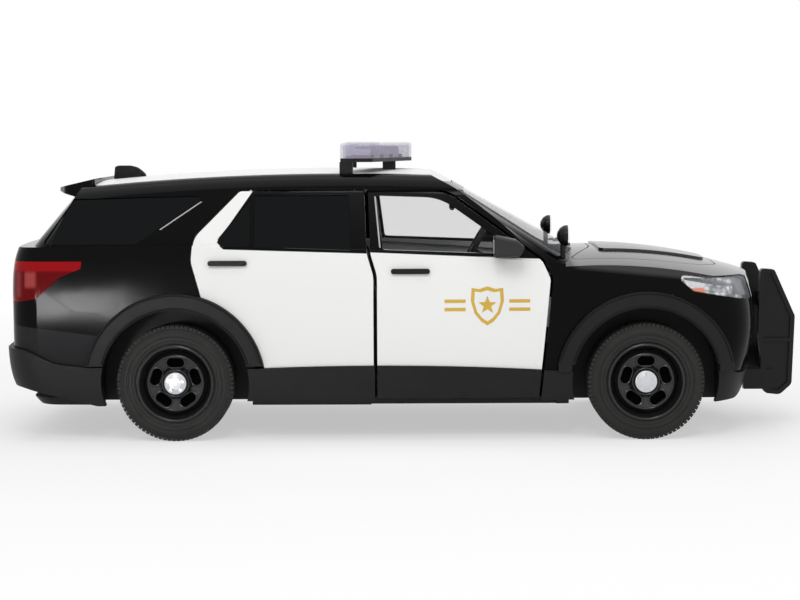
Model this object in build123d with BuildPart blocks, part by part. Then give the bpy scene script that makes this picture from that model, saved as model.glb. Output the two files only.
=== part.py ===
"""Die-cast model of a police sport-utility car, 1:24, with opening front doors and rolling wheels.

Millimetres. +X points to the front, +Y to the car's left, +Z up. The origin is on the floor, at the
middle of the length and width.
"""

import os
from functools import lru_cache
from math import sqrt

from build123d import *

os.makedirs("parts", exist_ok=True)

# Driving sizes of the whole model
WHEELBASE = 126.0
REAR_OVERHANG = 47.2  # rear axle to the back of the rear bumper
FRONT_OVERHANG = 44.1  # front axle to the front of the push bumper
HALF_WIDTH = 41.7  # centre line to the outer face of the arch trims
ROOF_Z = 72.3  # top of the roof at the centre line
WALL = 1.6  # die-cast wall
PANEL_GAP = 0.3  # shut line of the fixed panels
DOOR_GAP = 0.7  # shut line of the opening doors
FIT = 0.05  # clearance of glued and snapped pieces
REACH = 120.0  # length of cutting tools, past every side of the body

REAR_X = -(REAR_OVERHANG + WHEELBASE + FRONT_OVERHANG) / 2
FRONT_X = -REAR_X
REAR_AXLE_X = REAR_X + REAR_OVERHANG
FRONT_AXLE_X = REAR_AXLE_X + WHEELBASE
MID_X = (REAR_AXLE_X + FRONT_AXLE_X) / 2

# Wheels
TYRE_R = 15.6
TYRE_W = 10.0
TRACK = 70.4  # between the middles of the tyres
RIM_R = 10.4
RIM_WALL = 0.8
AXLE_R = 1.2
AXLE_CLEARANCE = 0.08
HUB_R = 2.8
CAP_R = 3.2
SLOT_COUNT = 5
SLOT_RING_R = 5.5
SLOT_LENGTH = 4.8
SLOT_WIDTH = 2.5
AXLE_Z = TYRE_R

# Arches and trims
ARCH_IN_R = 19.8
ARCH_OUT_R = 24.2
LINER_R = 20.5
LINER_WALL = 1.0
LINER_IN_Y = 26.0
TRIM_PROUD = 0.6  # sill trims stand out of the paint by this
BUMPER_PROUD = 1.4
SILL_Z = 10.8
SILL_TOP_Z = 20.2
FLOOR_Z = 9.5
FLOOR_T = 2.0

# Plan sections of the body, bottom to top. Columns: height, how far the tail lies inside the rear
# overhang, how far the nose lies inside the front overhang, and how far the half width at the tail
# corner, at mid length and at the nose corner lies inside HALF_WIDTH.
BODY_ROWS = (
    (9.0, 7.2, 14.4, 5.2, 2.5, 5.4),
    (22.0, 1.7, 10.9, 3.1, 1.2, 3.7),
    (34.0, 1.5, 10.1, 2.8, 0.9, 3.4),
    (45.0, 1.6, 13.2, 3.5, 1.5, 4.6),
    (56.0, 5.6, 18.0, 5.7, 3.1, 7.4),
)
BODY_TAIL_BOW = 2.0  # the tail's middle stands behind its corners by this
BODY_NOSE_BOW = 7.5
BODY_TAIL_CORNER_R = 8.0
BODY_NOSE_CORNER_R = 13.0
# Plan sections of the glass house, same columns. Its tail is the back window and its nose the windscreen.
HOUSE_ROWS = (
    (44.0, -1.1, 49.9, 5.3, 1.5, 5.9),
    (76.0, 26.5, 108.6, 12.7, 11.7, 14.3),
)
HOUSE_TAIL_BOW = (4.0, 2.0)
HOUSE_NOSE_BOW = (10.3, 1.2)
HOUSE_TAIL_CORNER_R = 9.0
HOUSE_NOSE_CORNER_R = 5.5

# Belt line, hood and roof surfaces
BELT_REAR_Z = 51.5
BELT_MID_Z = 52.3
BELT_FRONT_Z = 47.3
COWL_X = FRONT_AXLE_X - 22.0  # the belt line ends here and the hood begins
HOOD_APEX_X = FRONT_AXLE_X - 13.0
HOOD_APEX_Z = 50.2
HOOD_SIDE_R = 150.0
HOOD_CROWN_R = 223.0
ROOF_APEX_X = MID_X - 20.0
ROOF_SIDE_R = 700.0
ROOF_CROWN_R = 343.0
ROOF_HALF = 31.6
ROOF_RAIL_R = 7.0
HOUSE_LEAN = 0.31  # how far the house sides lean in for each unit of height
TOOL_Z = 100.0


def crown_drop(radius, half):
    """How far an arc of this radius falls from its top to a point half to the side."""
    return radius - sqrt(radius**2 - half**2)


def plan_loft(rows, tail_bow, nose_bow, tail_r, nose_r, inset, ruled):
    """A closed form through plan sections of arcs, drawn inset from its outer skin."""
    with BuildPart() as form:
        for (z, tail_in, nose_in, tail_w, mid_w, nose_w), bow_t, bow_n in zip(rows, tail_bow, nose_bow):
            tail_x, nose_x = REAR_X + tail_in + inset, FRONT_X - nose_in - inset
            tail_y, mid_y, nose_y = (HALF_WIDTH - w - inset for w in (tail_w, mid_w, nose_w))
            with BuildSketch(Plane.XY.offset(z)) as section:
                with BuildLine():
                    nose = ThreePointArc((nose_x - bow_n, -nose_y), (nose_x, 0), (nose_x - bow_n, nose_y))
                    left = ThreePointArc(nose @ 1, (MID_X, mid_y), (tail_x + bow_t, tail_y))
                    tail = ThreePointArc(left @ 1, (tail_x, 0), (tail_x + bow_t, -tail_y))
                    ThreePointArc(tail @ 1, (MID_X, -mid_y), nose @ 0)
                make_face()
                fillet(section.vertices().sort_by(Axis.X)[-2:], nose_r - inset)
                fillet(section.vertices().sort_by(Axis.X)[:2], tail_r - inset)
        loft(ruled=ruled)
    return form.part


def belt_arc(inset):
    """The belt line, seen from the side."""
    return ThreePointArc(
        (REAR_X - BODY_TAIL_CORNER_R, BELT_REAR_Z - inset),
        (MID_X - 45.0, BELT_MID_Z - inset),
        (COWL_X, BELT_FRONT_Z - inset),
    )


@lru_cache
def lower_form(inset):
    """The body below the belt line, with the hood's crowned top."""
    rows = len(BODY_ROWS)
    bows = ([BODY_TAIL_BOW] * rows, [BODY_NOSE_BOW] * rows)
    hull = plan_loft(BODY_ROWS, *bows, BODY_TAIL_CORNER_R, BODY_NOSE_CORNER_R, inset, ruled=False)
    apex_z = HOOD_APEX_Z - inset
    edge_z = apex_z - crown_drop(HOOD_CROWN_R, REACH / 2)
    with BuildPart() as hood_cut:
        with Locations((COWL_X, 0, FLOOR_Z)):
            Box(REACH, REACH, TOOL_Z, align=(Align.MIN, Align.CENTER, Align.MIN))
        with BuildSketch(Plane.YZ.offset(HOOD_APEX_X)):
            with BuildLine():
                crown = ThreePointArc((-REACH / 2, edge_z), (0, apex_z), (REACH / 2, edge_z))
                Polyline(crown @ 1, (REACH / 2, -FLOOR_Z), (-REACH / 2, -FLOOR_Z), crown @ 0)
            make_face()
        hood_axis = Axis((HOOD_APEX_X, 0, apex_z - HOOD_SIDE_R), (0, 1, 0))
        revolve(axis=hood_axis, revolution_arc=360, mode=Mode.SUBTRACT)
    with BuildPart() as lower:
        add(hull)
        with BuildSketch(Plane.XZ):
            with BuildLine():
                belt = belt_arc(inset)
                Polyline(belt @ 1, (COWL_X, TOOL_Z), ((belt @ 0).X, TOOL_Z), belt @ 0)
            make_face()
        extrude(amount=REACH / 2, both=True, mode=Mode.SUBTRACT)
        add(hood_cut.part, mode=Mode.SUBTRACT)
    return lower.part


def house_form(inset):
    """The glass house above the belt line, with the crowned roof and its rounded rails."""
    hull = plan_loft(
        HOUSE_ROWS, HOUSE_TAIL_BOW, HOUSE_NOSE_BOW, HOUSE_TAIL_CORNER_R, HOUSE_NOSE_CORNER_R, inset, ruled=True
    )
    apex_z, half = ROOF_Z - inset, ROOF_HALF - inset
    edge_z = apex_z - crown_drop(ROOF_CROWN_R, half)
    rail_fall = ROOF_Z - BELT_FRONT_Z
    rail_spread = half + HOUSE_LEAN * rail_fall
    with BuildPart() as roof:
        with BuildSketch(Plane.YZ.offset(ROOF_APEX_X)) as section:
            with BuildLine():
                crown = ThreePointArc((-half, edge_z), (0, apex_z), (half, edge_z))
                Polyline(crown @ 1, (rail_spread, edge_z - rail_fall), (-rail_spread, edge_z - rail_fall), crown @ 0)
            make_face()
            fillet(section.vertices().group_by(Axis.Y)[-1], ROOF_RAIL_R - inset)
        revolve(axis=Axis((ROOF_APEX_X, 0, apex_z - ROOF_SIDE_R), (0, 1, 0)), revolution_arc=360)
    with BuildPart() as house:
        add(hull)
        add(roof.part, mode=Mode.INTERSECT)
        with BuildSketch(Plane.XZ):
            with BuildLine():
                belt = belt_arc(inset + WALL)
                Polyline(belt @ 1, (FRONT_X, BELT_FRONT_Z - inset - WALL), (FRONT_X, 0), ((belt @ 0).X, 0), belt @ 0)
            make_face()
        extrude(amount=REACH / 2, both=True, mode=Mode.SUBTRACT)
    return house.part


def body_form(inset):
    with BuildPart() as form:
        add(lower_form(inset))
        add(house_form(inset))
    return form.part


def skin(outer, inner):
    """The wall between two of the forms above."""
    with BuildPart() as wall:
        add(outer)
        add(inner, mode=Mode.SUBTRACT)
    return wall.part


def side_prism(points, corner_radii, near, far, grow=0.0):
    """A side outline in X and Z, drawn through the car's right side from y = -near to y = -far."""
    with BuildPart() as prism:
        with BuildSketch(Plane.XZ.offset(near)):
            with BuildLine():
                FilletPolyline(*points, radius=corner_radii, close=True)
            make_face()
            if grow:
                offset(amount=grow, kind=Kind.INTERSECTION)
        extrude(amount=far - near)
    return prism.part


def less(first, *others):
    with BuildPart() as rest:
        add(first)
        for other in others:
            add(other, mode=Mode.SUBTRACT)
    return rest.part


def left_of(part):
    """The same piece on the car's left side."""
    return mirror(part, about=Plane.XZ)


def save(part, name):
    part.label = name
    export_step(part, f"parts/{name}.step")


def save_pair(part, name):
    save(part, f"{name}_right")
    save(left_of(part), f"{name}_left")


# Forms that the panels, windows and trims are cut from
GLASS_IN = 0.3
GLASS_T = 1.0
outer = body_form(0.0)
inner = body_form(WALL)
shell = skin(outer, inner)
glass_skin = skin(body_form(GLASS_IN), body_form(GLASS_IN + GLASS_T))
trim_skin = skin(lower_form(-TRIM_PROUD), lower_form(WALL))
bumper_skin = skin(lower_form(-BUMPER_PROUD), lower_form(WALL))

# Outlines on the right side, as (x, z)
DOOR_REAR_X = MID_X - 9.6  # shut line between the doors, below the belt
PILLAR_X = MID_X - 12.0  # the same shut line in the window frames
DOOR_TOP_Z = ROOF_Z - 5.3
DOOR_FRONT_X = FRONT_AXLE_X - 24.9
DOOR_FRONT_Z = 43.4  # height of the front edge's foremost point
DOOR_FOOT_X = FRONT_AXLE_X - 28.1
PILLAR_FOOT = (FRONT_AXLE_X - 27.2, 48.4)  # where the windscreen pillar meets the door
PILLAR_HEAD = (FRONT_AXLE_X - 53.0, DOOR_TOP_Z)
front_door_outline = (
    (DOOR_FOOT_X, SILL_Z),
    (DOOR_FRONT_X, DOOR_FRONT_Z),
    PILLAR_FOOT,
    PILLAR_HEAD,
    (PILLAR_X, DOOR_TOP_Z),
    (PILLAR_X + 0.6, BELT_MID_Z - 2.0),
    (DOOR_REAR_X, BELT_MID_Z - 8.0),
    (DOOR_REAR_X, SILL_Z),
)
front_door_radii = (0.0, 4.0, 3.0, 10.0, 1.0, 8.0, 8.0, 0.0)
WINDOW_TOP_Z = ROOF_Z - 6.9
front_window_outline = (
    (PILLAR_X + 4.7, BELT_MID_Z - 1.2),
    (FRONT_AXLE_X - 33.5, BELT_MID_Z - 2.6),
    (FRONT_AXLE_X - 55.0, WINDOW_TOP_Z - 0.6),
    (PILLAR_X + 2.9, WINDOW_TOP_Z),
)
front_window_radii = (0.8, 1.2, 14.0, 1.0)
REAR_DOOR_BACK_X = REAR_AXLE_X + 4.2
rear_door_outline = (
    (DOOR_REAR_X, SILL_Z),
    (DOOR_REAR_X, BELT_MID_Z - 8.0),
    (PILLAR_X + 0.6, BELT_MID_Z - 2.0),
    (PILLAR_X, DOOR_TOP_Z),
    (REAR_AXLE_X + 17.2, DOOR_TOP_Z),
    (REAR_DOOR_BACK_X + 0.6, BELT_MID_Z + 2.2),
    (REAR_DOOR_BACK_X, BELT_MID_Z - 4.0),
    (REAR_DOOR_BACK_X + 4.0, SILL_TOP_Z + 14.0),
    (REAR_DOOR_BACK_X + 4.0, SILL_Z),
)
rear_door_radii = (0.0, 8.0, 8.0, 1.0, 2.0, 6.0, 6.0, 1.0, 0.0)
rear_window_outline = (
    (REAR_AXLE_X + 13.2, BELT_MID_Z - 0.3),
    (PILLAR_X - 3.8, BELT_MID_Z - 1.4),
    (PILLAR_X - 4.4, WINDOW_TOP_Z + 0.2),
    (REAR_AXLE_X + 20.8, WINDOW_TOP_Z + 0.2),
    (REAR_AXLE_X + 11.2, BELT_MID_Z + 1.4),
)
rear_window_radii = (0.8, 0.6, 0.6, 0.8, 0.8)
quarter_window_outline = (
    (REAR_AXLE_X - 36.0, BELT_MID_Z + 0.3),
    (REAR_AXLE_X - 10.5, BELT_MID_Z + 0.3),
    (REAR_AXLE_X + 8.6, WINDOW_TOP_Z + 0.2),
    (REAR_AXLE_X - 27.4, WINDOW_TOP_Z - 0.6),
)
quarter_window_radii = (0.8, 4.0, 0.8, 0.8)

SIDE_NEAR = 22.0  # side tools start this far from the centre line
front_door_cut = side_prism(front_door_outline, front_door_radii, SIDE_NEAR, REACH / 2)
front_door_form = side_prism(front_door_outline, front_door_radii, SIDE_NEAR, REACH / 2, grow=-DOOR_GAP)
front_window_cut = side_prism(front_window_outline, front_window_radii, SIDE_NEAR, REACH / 2)
front_glass_form = side_prism(front_window_outline, front_window_radii, SIDE_NEAR, REACH / 2, grow=-FIT)
rear_door_cut = side_prism(rear_door_outline, rear_door_radii, SIDE_NEAR, REACH / 2)
rear_door_form = side_prism(rear_door_outline, rear_door_radii, SIDE_NEAR, REACH / 2, grow=-PANEL_GAP)
DIVIDER_X = REAR_AXLE_X + 20.6
DIVIDER_W = 1.0
with BuildPart() as divider_bar:
    with Locations((DIVIDER_X, -SIDE_NEAR, 0)):
        Box(DIVIDER_W, REACH, 2 * TOOL_Z, align=(Align.CENTER, Align.MAX, Align.CENTER))
divider_gap = offset(divider_bar.part, amount=FIT)
rear_window_cut = less(side_prism(rear_window_outline, rear_window_radii, SIDE_NEAR, REACH / 2), divider_bar.part)
rear_glass_form = less(
    side_prism(rear_window_outline, rear_window_radii, SIDE_NEAR, REACH / 2, grow=-FIT), divider_gap
)
quarter_window_cut = side_prism(quarter_window_outline, quarter_window_radii, SIDE_NEAR, REACH / 2)
quarter_glass_form = side_prism(quarter_window_outline, quarter_window_radii, SIDE_NEAR, REACH / 2, grow=-FIT)


def through_prism(points, corner_radii, grow=0.0):
    """A side outline drawn through the whole width of the car."""
    return side_prism(points, corner_radii, -REACH / 2, REACH / 2, grow)


def end_prism(points, corner_radii, start_x, end_x, grow=0.0):
    """An outline seen from the front, as (y, z), drawn along X."""
    with BuildPart() as prism:
        with BuildSketch(Plane.YZ.offset(start_x)):
            with BuildLine():
                FilletPolyline(*points, radius=corner_radii, close=True)
            make_face()
            if grow:
                offset(amount=grow, kind=Kind.INTERSECTION)
        extrude(amount=end_x - start_x)
    return prism.part


def plan_prism(points, corner_radii, low_z, high_z, grow=0.0):
    """An outline seen from above, as (x, y), drawn along Z."""
    with BuildPart() as prism:
        with BuildSketch(Plane.XY.offset(low_z)):
            with BuildLine():
                FilletPolyline(*points, radius=corner_radii, close=True)
            make_face()
            if grow:
                offset(amount=grow, kind=Kind.INTERSECTION)
        extrude(amount=high_z - low_z)
    return prism.part


def mirrored(points):
    """A right-hand outline of (x, y) points and its left-hand copy, as one closed outline."""
    return (*points, *((x, -y) for x, y in reversed(points)))


def symmetric(points):
    """The same for (y, z) points of an outline seen from the front."""
    return (*points, *((-y, z) for y, z in reversed(points)))


# Fixed outlines that cross the centre line
ROOF_PANEL_HALF = 29.0
ROOF_PANEL_FRONT_X = FRONT_AXLE_X - 51.0
ROOF_PANEL_REAR_X = REAR_AXLE_X - 23.0
roof_points = mirrored(
    ((ROOF_PANEL_REAR_X, ROOF_PANEL_HALF - 2.0), (ROOF_PANEL_FRONT_X - 3.0, ROOF_PANEL_HALF - 3.0),
     (ROOF_PANEL_FRONT_X, 12.0))
)
roof_radii = (3.0, 3.0, 30.0, 30.0, 3.0, 3.0)
roof_cut = plan_prism(roof_points, roof_radii, ROOF_Z - 12.0, TOOL_Z)
roof_form = plan_prism(roof_points, roof_radii, ROOF_Z - 12.0, TOOL_Z, grow=-PANEL_GAP)
HOOD_REAR_X = FRONT_AXLE_X - 12.6
HOOD_CORNER_X = FRONT_AXLE_X - 20.4
HOOD_FRONT_X = FRONT_AXLE_X + 22.0
HOOD_LOW_Z = 38.0
hood_points = mirrored(
    ((HOOD_REAR_X, 9.0), (HOOD_CORNER_X, 31.5), (HOOD_FRONT_X - 7.0, 27.5), (HOOD_FRONT_X, 17.0))
)
hood_radii = (30.0, 2.5, 14.0, 9.0, 9.0, 14.0, 2.5, 30.0)
hood_cut = plan_prism(hood_points, hood_radii, HOOD_LOW_Z, TOOL_Z)
hood_panel_form = plan_prism(hood_points, hood_radii, HOOD_LOW_Z, TOOL_Z, grow=-PANEL_GAP)
DOME_POINTS = mirrored(((HOOD_REAR_X + 2.0, 17.5), (HOOD_FRONT_X - 2.5, 11.5)))
DOME_R = (2.0, 3.0, 3.0, 2.0)
WINDSCREEN_END_X = FRONT_AXLE_X - 14.0
windscreen_points = symmetric(((31.8, BELT_FRONT_Z + 1.6), (25.0, ROOF_Z - 5.6)))
windscreen_radii = (2.0, 3.0, 3.0, 2.0)
windscreen_cut = less(end_prism(windscreen_points, windscreen_radii, MID_X, WINDSCREEN_END_X), lower_form(0.0))
windscreen_form = end_prism(windscreen_points, windscreen_radii, MID_X, WINDSCREEN_END_X, grow=-FIT)
TAIL_TOOL_X = REAR_AXLE_X - 14.0
TAIL_END_X = REAR_X - 6.0
BACK_WINDOW_HEAD_Z = ROOF_Z - 7.4
tailgate_points = symmetric(((24.5, 26.6), (25.5, 38.0), (29.0, BELT_REAR_Z + 1.0), (24.0, ROOF_Z - 5.6)))
tailgate_radii = (2.0, 8.0, 3.0, 2.0, 2.0, 3.0, 8.0, 2.0)
tailgate_cut = end_prism(tailgate_points, tailgate_radii, TAIL_TOOL_X, TAIL_END_X)
tailgate_form = end_prism(tailgate_points, tailgate_radii, TAIL_TOOL_X, TAIL_END_X, grow=-PANEL_GAP)
back_window_points = symmetric(((25.4, BELT_REAR_Z + 2.6), (22.2, BACK_WINDOW_HEAD_Z)))
back_window_radii = (2.0, 2.0, 2.0, 2.0)
back_window_cut = end_prism(back_window_points, back_window_radii, TAIL_TOOL_X, TAIL_END_X)
back_window_form = end_prism(back_window_points, back_window_radii, TAIL_TOOL_X, TAIL_END_X, grow=-FIT)
GRILLE_START_X = FRONT_AXLE_X + 16.0
grille_points = symmetric(((20.5, 28.5), (23.5, 40.6)))
grille_radii = (3.0, 2.0, 2.0, 3.0)
grille_cut = end_prism(grille_points, grille_radii, GRILLE_START_X, FRONT_X)
grille_form = end_prism(grille_points, grille_radii, GRILLE_START_X, FRONT_X, grow=-FIT)
intake_points = symmetric(((21.5, 19.4), (19.0, 25.0)))
intake_radii = (1.5, 1.5, 1.5, 1.5)
intake_cut = end_prism(intake_points, intake_radii, GRILLE_START_X, FRONT_X)
intake_form = end_prism(intake_points, intake_radii, GRILLE_START_X, FRONT_X, grow=-FIT)
vent_points = ((-27.0, 20.6), (-31.6, 22.0), (-30.6, 32.0), (-28.2, 32.6))
vent_radii = (0.8, 0.8, 0.8, 0.8)
vent_cut = end_prism(vent_points, vent_radii, GRILLE_START_X, FRONT_X)
vent_form = end_prism(vent_points, vent_radii, GRILLE_START_X, FRONT_X, grow=-FIT)
vent_core = end_prism(vent_points, vent_radii, GRILLE_START_X, FRONT_X, grow=-0.6)

# Lamp outlines on the right side
HEADLAMP_IN_Y = 24.6
headlamp_points = (
    (FRONT_AXLE_X + 7.4, 44.2),
    (FRONT_X, 42.6),
    (FRONT_X, 35.4),
    (FRONT_AXLE_X + 28.3, 37.0),
    (FRONT_AXLE_X + 12.6, 39.7),
)
headlamp_radii = (1.0, 0.5, 0.5, 3.0, 1.0)
headlamp_cut = side_prism(headlamp_points, headlamp_radii, HEADLAMP_IN_Y, REACH / 2)
headlamp_form = side_prism(headlamp_points, headlamp_radii, HEADLAMP_IN_Y + FIT, REACH / 2, grow=-FIT)
headlamp_core = side_prism(headlamp_points, headlamp_radii, HEADLAMP_IN_Y + 0.8, REACH / 2, grow=-0.8)
TAIL_LAMP_IN_Y = 26.2
tail_lamp_points = (
    (REAR_AXLE_X - 24.6, 48.4),
    (REAR_AXLE_X - 24.9, 46.4),
    (REAR_AXLE_X - 30.6, 44.0),
    (REAR_AXLE_X - 36.9, 38.4),
    (REAR_AXLE_X - 41.3, 37.6),
    (TAIL_END_X, 37.2),
    (TAIL_END_X, 48.4),
)
tail_lamp_radii = (0.4, 0.6, 2.0, 3.0, 2.0, 0.5, 0.5)
tail_lamp_cut = side_prism(tail_lamp_points, tail_lamp_radii, TAIL_LAMP_IN_Y, REACH / 2)
tail_lamp_form = side_prism(tail_lamp_points, tail_lamp_radii, TAIL_LAMP_IN_Y + FIT, REACH / 2, grow=-FIT)

# Lower trims
TRIM_GAP = 0.1
ARCH_FOOT_Z = SILL_TOP_Z + 0.2


def sill_zone(lift):
    """Everything below the arched top edge of the sill trims, between the wheel arches."""
    with BuildPart() as zone:
        with BuildSketch(Plane.XZ):
            with BuildLine():
                top = ThreePointArc(
                    (REAR_AXLE_X, SILL_TOP_Z - 1.8 + lift),
                    (MID_X, SILL_TOP_Z + lift),
                    (FRONT_AXLE_X, SILL_TOP_Z - 3.4 + lift),
                )
                Polyline(top @ 1, (FRONT_AXLE_X, 0), (REAR_AXLE_X, 0), top @ 0)
            make_face()
        extrude(amount=REACH / 2, both=True)
    return zone.part


rear_bumper_points = (
    (REAR_AXLE_X - 16.0, 20.0),
    (REAR_AXLE_X - 23.0, 20.0),
    (REAR_AXLE_X - 32.0, 21.0),
    (REAR_AXLE_X - 40.0, 24.8),
    (TAIL_END_X, 25.6),
    (TAIL_END_X, 16.0),
    (REAR_AXLE_X - 41.0, 14.4),
    (REAR_AXLE_X - 21.0, FLOOR_Z),
    (REAR_AXLE_X - 16.0, FLOOR_Z),
)
rear_bumper_radii = (0.0, 4.0, 8.0, 8.0, 0.5, 0.5, 6.0, 3.0, 0.0)
rear_bumper_form = through_prism(rear_bumper_points, rear_bumper_radii)
rear_bumper_cut = through_prism(
    ((REAR_AXLE_X, 0), (REAR_AXLE_X, 20.0), *rear_bumper_points[1:5], (TAIL_END_X, 0)),
    (0.0, 0.0, 4.0, 8.0, 8.0, 0.5, 0.0), grow=TRIM_GAP,
)
front_bumper_points = (
    (FRONT_AXLE_X + 16.0, 19.8),
    (FRONT_AXLE_X + 21.0, 19.4),
    (FRONT_AXLE_X + 25.0, 17.3),
    (FRONT_X, 16.9),
    (FRONT_X, 15.0),
    (FRONT_AXLE_X + 31.0, 13.2),
    (FRONT_AXLE_X + 25.0, FLOOR_Z + 0.6),
    (FRONT_AXLE_X + 16.0, FLOOR_Z),
)
front_bumper_radii = (0.0, 3.0, 3.0, 0.0, 0.0, 4.0, 2.0, 0.0)
front_bumper_form = through_prism(front_bumper_points, front_bumper_radii)
front_bumper_cut = through_prism(
    ((FRONT_AXLE_X, 0), (FRONT_AXLE_X, 19.8), *front_bumper_points[1:4], (FRONT_X, 0)),
    (0.0, 0.0, 3.0, 3.0, 0.0, 0.0), grow=TRIM_GAP,
)


def arch_tool(axle_x, radius, near):
    """A wheel-arch cylinder on both sides, from near outwards."""
    with BuildPart() as tool:
        for side in (-1, 1):
            with BuildSketch(Plane.XZ.offset(-side * near)):
                with Locations((axle_x, AXLE_Z)):
                    Circle(radius)
            extrude(amount=-side * (REACH / 2 - near))
    return tool.part


ARCH_NEAR_Y = LINER_IN_Y
front_arch = arch_tool(FRONT_AXLE_X, ARCH_OUT_R + TRIM_GAP, ARCH_NEAR_Y)
rear_arch = arch_tool(REAR_AXLE_X, ARCH_OUT_R + TRIM_GAP, ARCH_NEAR_Y)
front_well = arch_tool(FRONT_AXLE_X, ARCH_IN_R, ARCH_NEAR_Y)
rear_well = arch_tool(REAR_AXLE_X, ARCH_IN_R, ARCH_NEAR_Y)

# Door hinges: a bowed arm on the door turns on a pin between two ears behind the fender
HINGE_X = DOOR_FRONT_X + 1.9
HINGE_Y = HALF_WIDTH - 4.6
HINGE_LOW_Z = 30.0
HINGE_HIGH_Z = 38.0
HINGE_GAP = 0.3
PIN_R = 0.6
PIN_CLEARANCE = 0.06
EAR_T = 1.2
ARM_R = 1.0
ARM_T = 1.0

with BuildPart() as hinge_ears:
    for low_z in (HINGE_LOW_Z - HINGE_GAP - EAR_T, HINGE_HIGH_Z + HINGE_GAP):
        with Locations((HINGE_X, -HINGE_Y, low_z)):
            Box(2 * ARM_R + 0.6, 2 * ARM_R, EAR_T, align=(Align.CENTER, Align.CENTER, Align.MIN))
            with Locations((0, -ARM_R, 0)):
                Box(2 * ARM_R + 0.6, 4.0, EAR_T, align=(Align.CENTER, Align.MAX, Align.MIN))
    add(lower_form(GLASS_IN), mode=Mode.INTERSECT)
    with Locations((HINGE_X, -HINGE_Y, (HINGE_LOW_Z + HINGE_HIGH_Z) / 2)):
        Cylinder(PIN_R + 0.02, HINGE_HIGH_Z, mode=Mode.SUBTRACT)

SEAM_POINTS = (
    (REAR_AXLE_X - 36.0, 41.2),
    (REAR_AXLE_X - 27.0, 35.2),
    (REAR_AXLE_X - 20.0, 34.6),
)
SEAM_W = 0.3
with BuildPart() as seams:
    with BuildSketch(Plane.XZ.offset(SIDE_NEAR)):
        with BuildLine():
            Polyline(*SEAM_POINTS)
        trace(line_width=SEAM_W)
    extrude(amount=REACH / 2 - SIDE_NEAR)
    add(lower_form(GLASS_IN), mode=Mode.SUBTRACT)
with BuildPart() as body_shell:
    add(shell)
    side_tools = (front_door_cut, rear_door_cut, quarter_window_cut, headlamp_cut, tail_lamp_cut, vent_cut)
    end_tools = (roof_cut, hood_cut, windscreen_cut, tailgate_cut, grille_cut, intake_cut)
    low_tools = (sill_zone(TRIM_GAP), rear_bumper_cut, front_bumper_cut, front_arch, rear_arch)
    add(side_tools, mode=Mode.SUBTRACT)
    add([left_of(tool) for tool in side_tools], mode=Mode.SUBTRACT)
    add(end_tools, mode=Mode.SUBTRACT)
    add(low_tools, mode=Mode.SUBTRACT)
    add(seams.part, mode=Mode.SUBTRACT)
    add(left_of(seams.part), mode=Mode.SUBTRACT)
    add(hinge_ears.part)
    add(left_of(hinge_ears.part))
save(body_shell.part, "body_shell")

with BuildPart() as hinge_pins:
    pin_low = HINGE_LOW_Z - HINGE_GAP - EAR_T
    for side in (-1, 1):
        with Locations((HINGE_X, side * HINGE_Y, pin_low)):
            Cylinder(
                PIN_R, HINGE_HIGH_Z + HINGE_GAP + EAR_T - pin_low, align=(Align.CENTER, Align.CENTER, Align.MIN)
            )
save(hinge_pins.part, "hinge_pins")

with BuildPart() as roof_panel:
    add(shell)
    add(roof_form, mode=Mode.INTERSECT)
save(roof_panel.part, "roof_panel")

with BuildPart() as hood_dome:
    add(lower_form(-TRIM_PROUD))
    add(inner, mode=Mode.SUBTRACT)
    add(plan_prism(DOME_POINTS, DOME_R, HOOD_LOW_Z, TOOL_Z), mode=Mode.INTERSECT)
with BuildPart() as hood:
    add(shell)
    add(hood_panel_form, mode=Mode.INTERSECT)
    add(hood_dome.part)
save(hood.part, "hood")

with BuildPart() as tailgate:
    add(shell)
    add(tailgate_form, mode=Mode.INTERSECT)
    add(back_window_cut, mode=Mode.SUBTRACT)
    add(rear_bumper_cut, mode=Mode.SUBTRACT)
save(tailgate.part, "tailgate")

with BuildPart() as windscreen:
    add(glass_skin)
    add(windscreen_form, mode=Mode.INTERSECT)
    add(lower_form(0.0), mode=Mode.SUBTRACT)
save(windscreen.part, "windscreen")

with BuildPart() as tailgate_glass:
    add(glass_skin)
    add(back_window_form, mode=Mode.INTERSECT)
save(tailgate_glass.part, "tailgate_glass")

with BuildPart() as quarter_glasses:
    add(glass_skin)
    add(quarter_glass_form, mode=Mode.INTERSECT)
    add(left_of(quarter_glasses.part))
save(quarter_glasses.part, "quarter_glasses")

with BuildPart() as rear_door:
    add(shell)
    add(rear_door_form, mode=Mode.INTERSECT)
    add(sill_zone(TRIM_GAP), mode=Mode.SUBTRACT)
    add(rear_window_cut, mode=Mode.SUBTRACT)
    add(rear_arch, mode=Mode.SUBTRACT)
save_pair(rear_door.part, "rear_door")

with BuildPart() as rear_door_glasses:
    add(glass_skin)
    add(rear_glass_form, mode=Mode.INTERSECT)
    add(left_of(rear_door_glasses.part))
save(rear_door_glasses.part, "rear_door_glasses")

SWING_ANGLES = (6, 12, 18, 24, 30, 36, 42)
SWING_REACH = 16.0
SWING_CLEARANCE = 0.4  # kept from the fender's edge, less than the shut line


def swing_tools(form):
    """The body ahead of the right front door's edge, as the opening door meets it."""
    with BuildPart() as ahead:
        with Locations((DOOR_FRONT_X, -HALF_WIDTH, 0)):
            Box(SWING_REACH, SWING_REACH, 2 * TOOL_Z)
        add(form, mode=Mode.INTERSECT)
        add(
            side_prism(front_door_outline, front_door_radii, SIDE_NEAR, REACH / 2, grow=-SWING_CLEARANCE),
            mode=Mode.SUBTRACT,
        )
    hinge_axis = Axis((HINGE_X, -HINGE_Y, 0), (0, 0, 1))
    return [ahead.part.rotate(hinge_axis, -angle) for angle in SWING_ANGLES]


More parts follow.
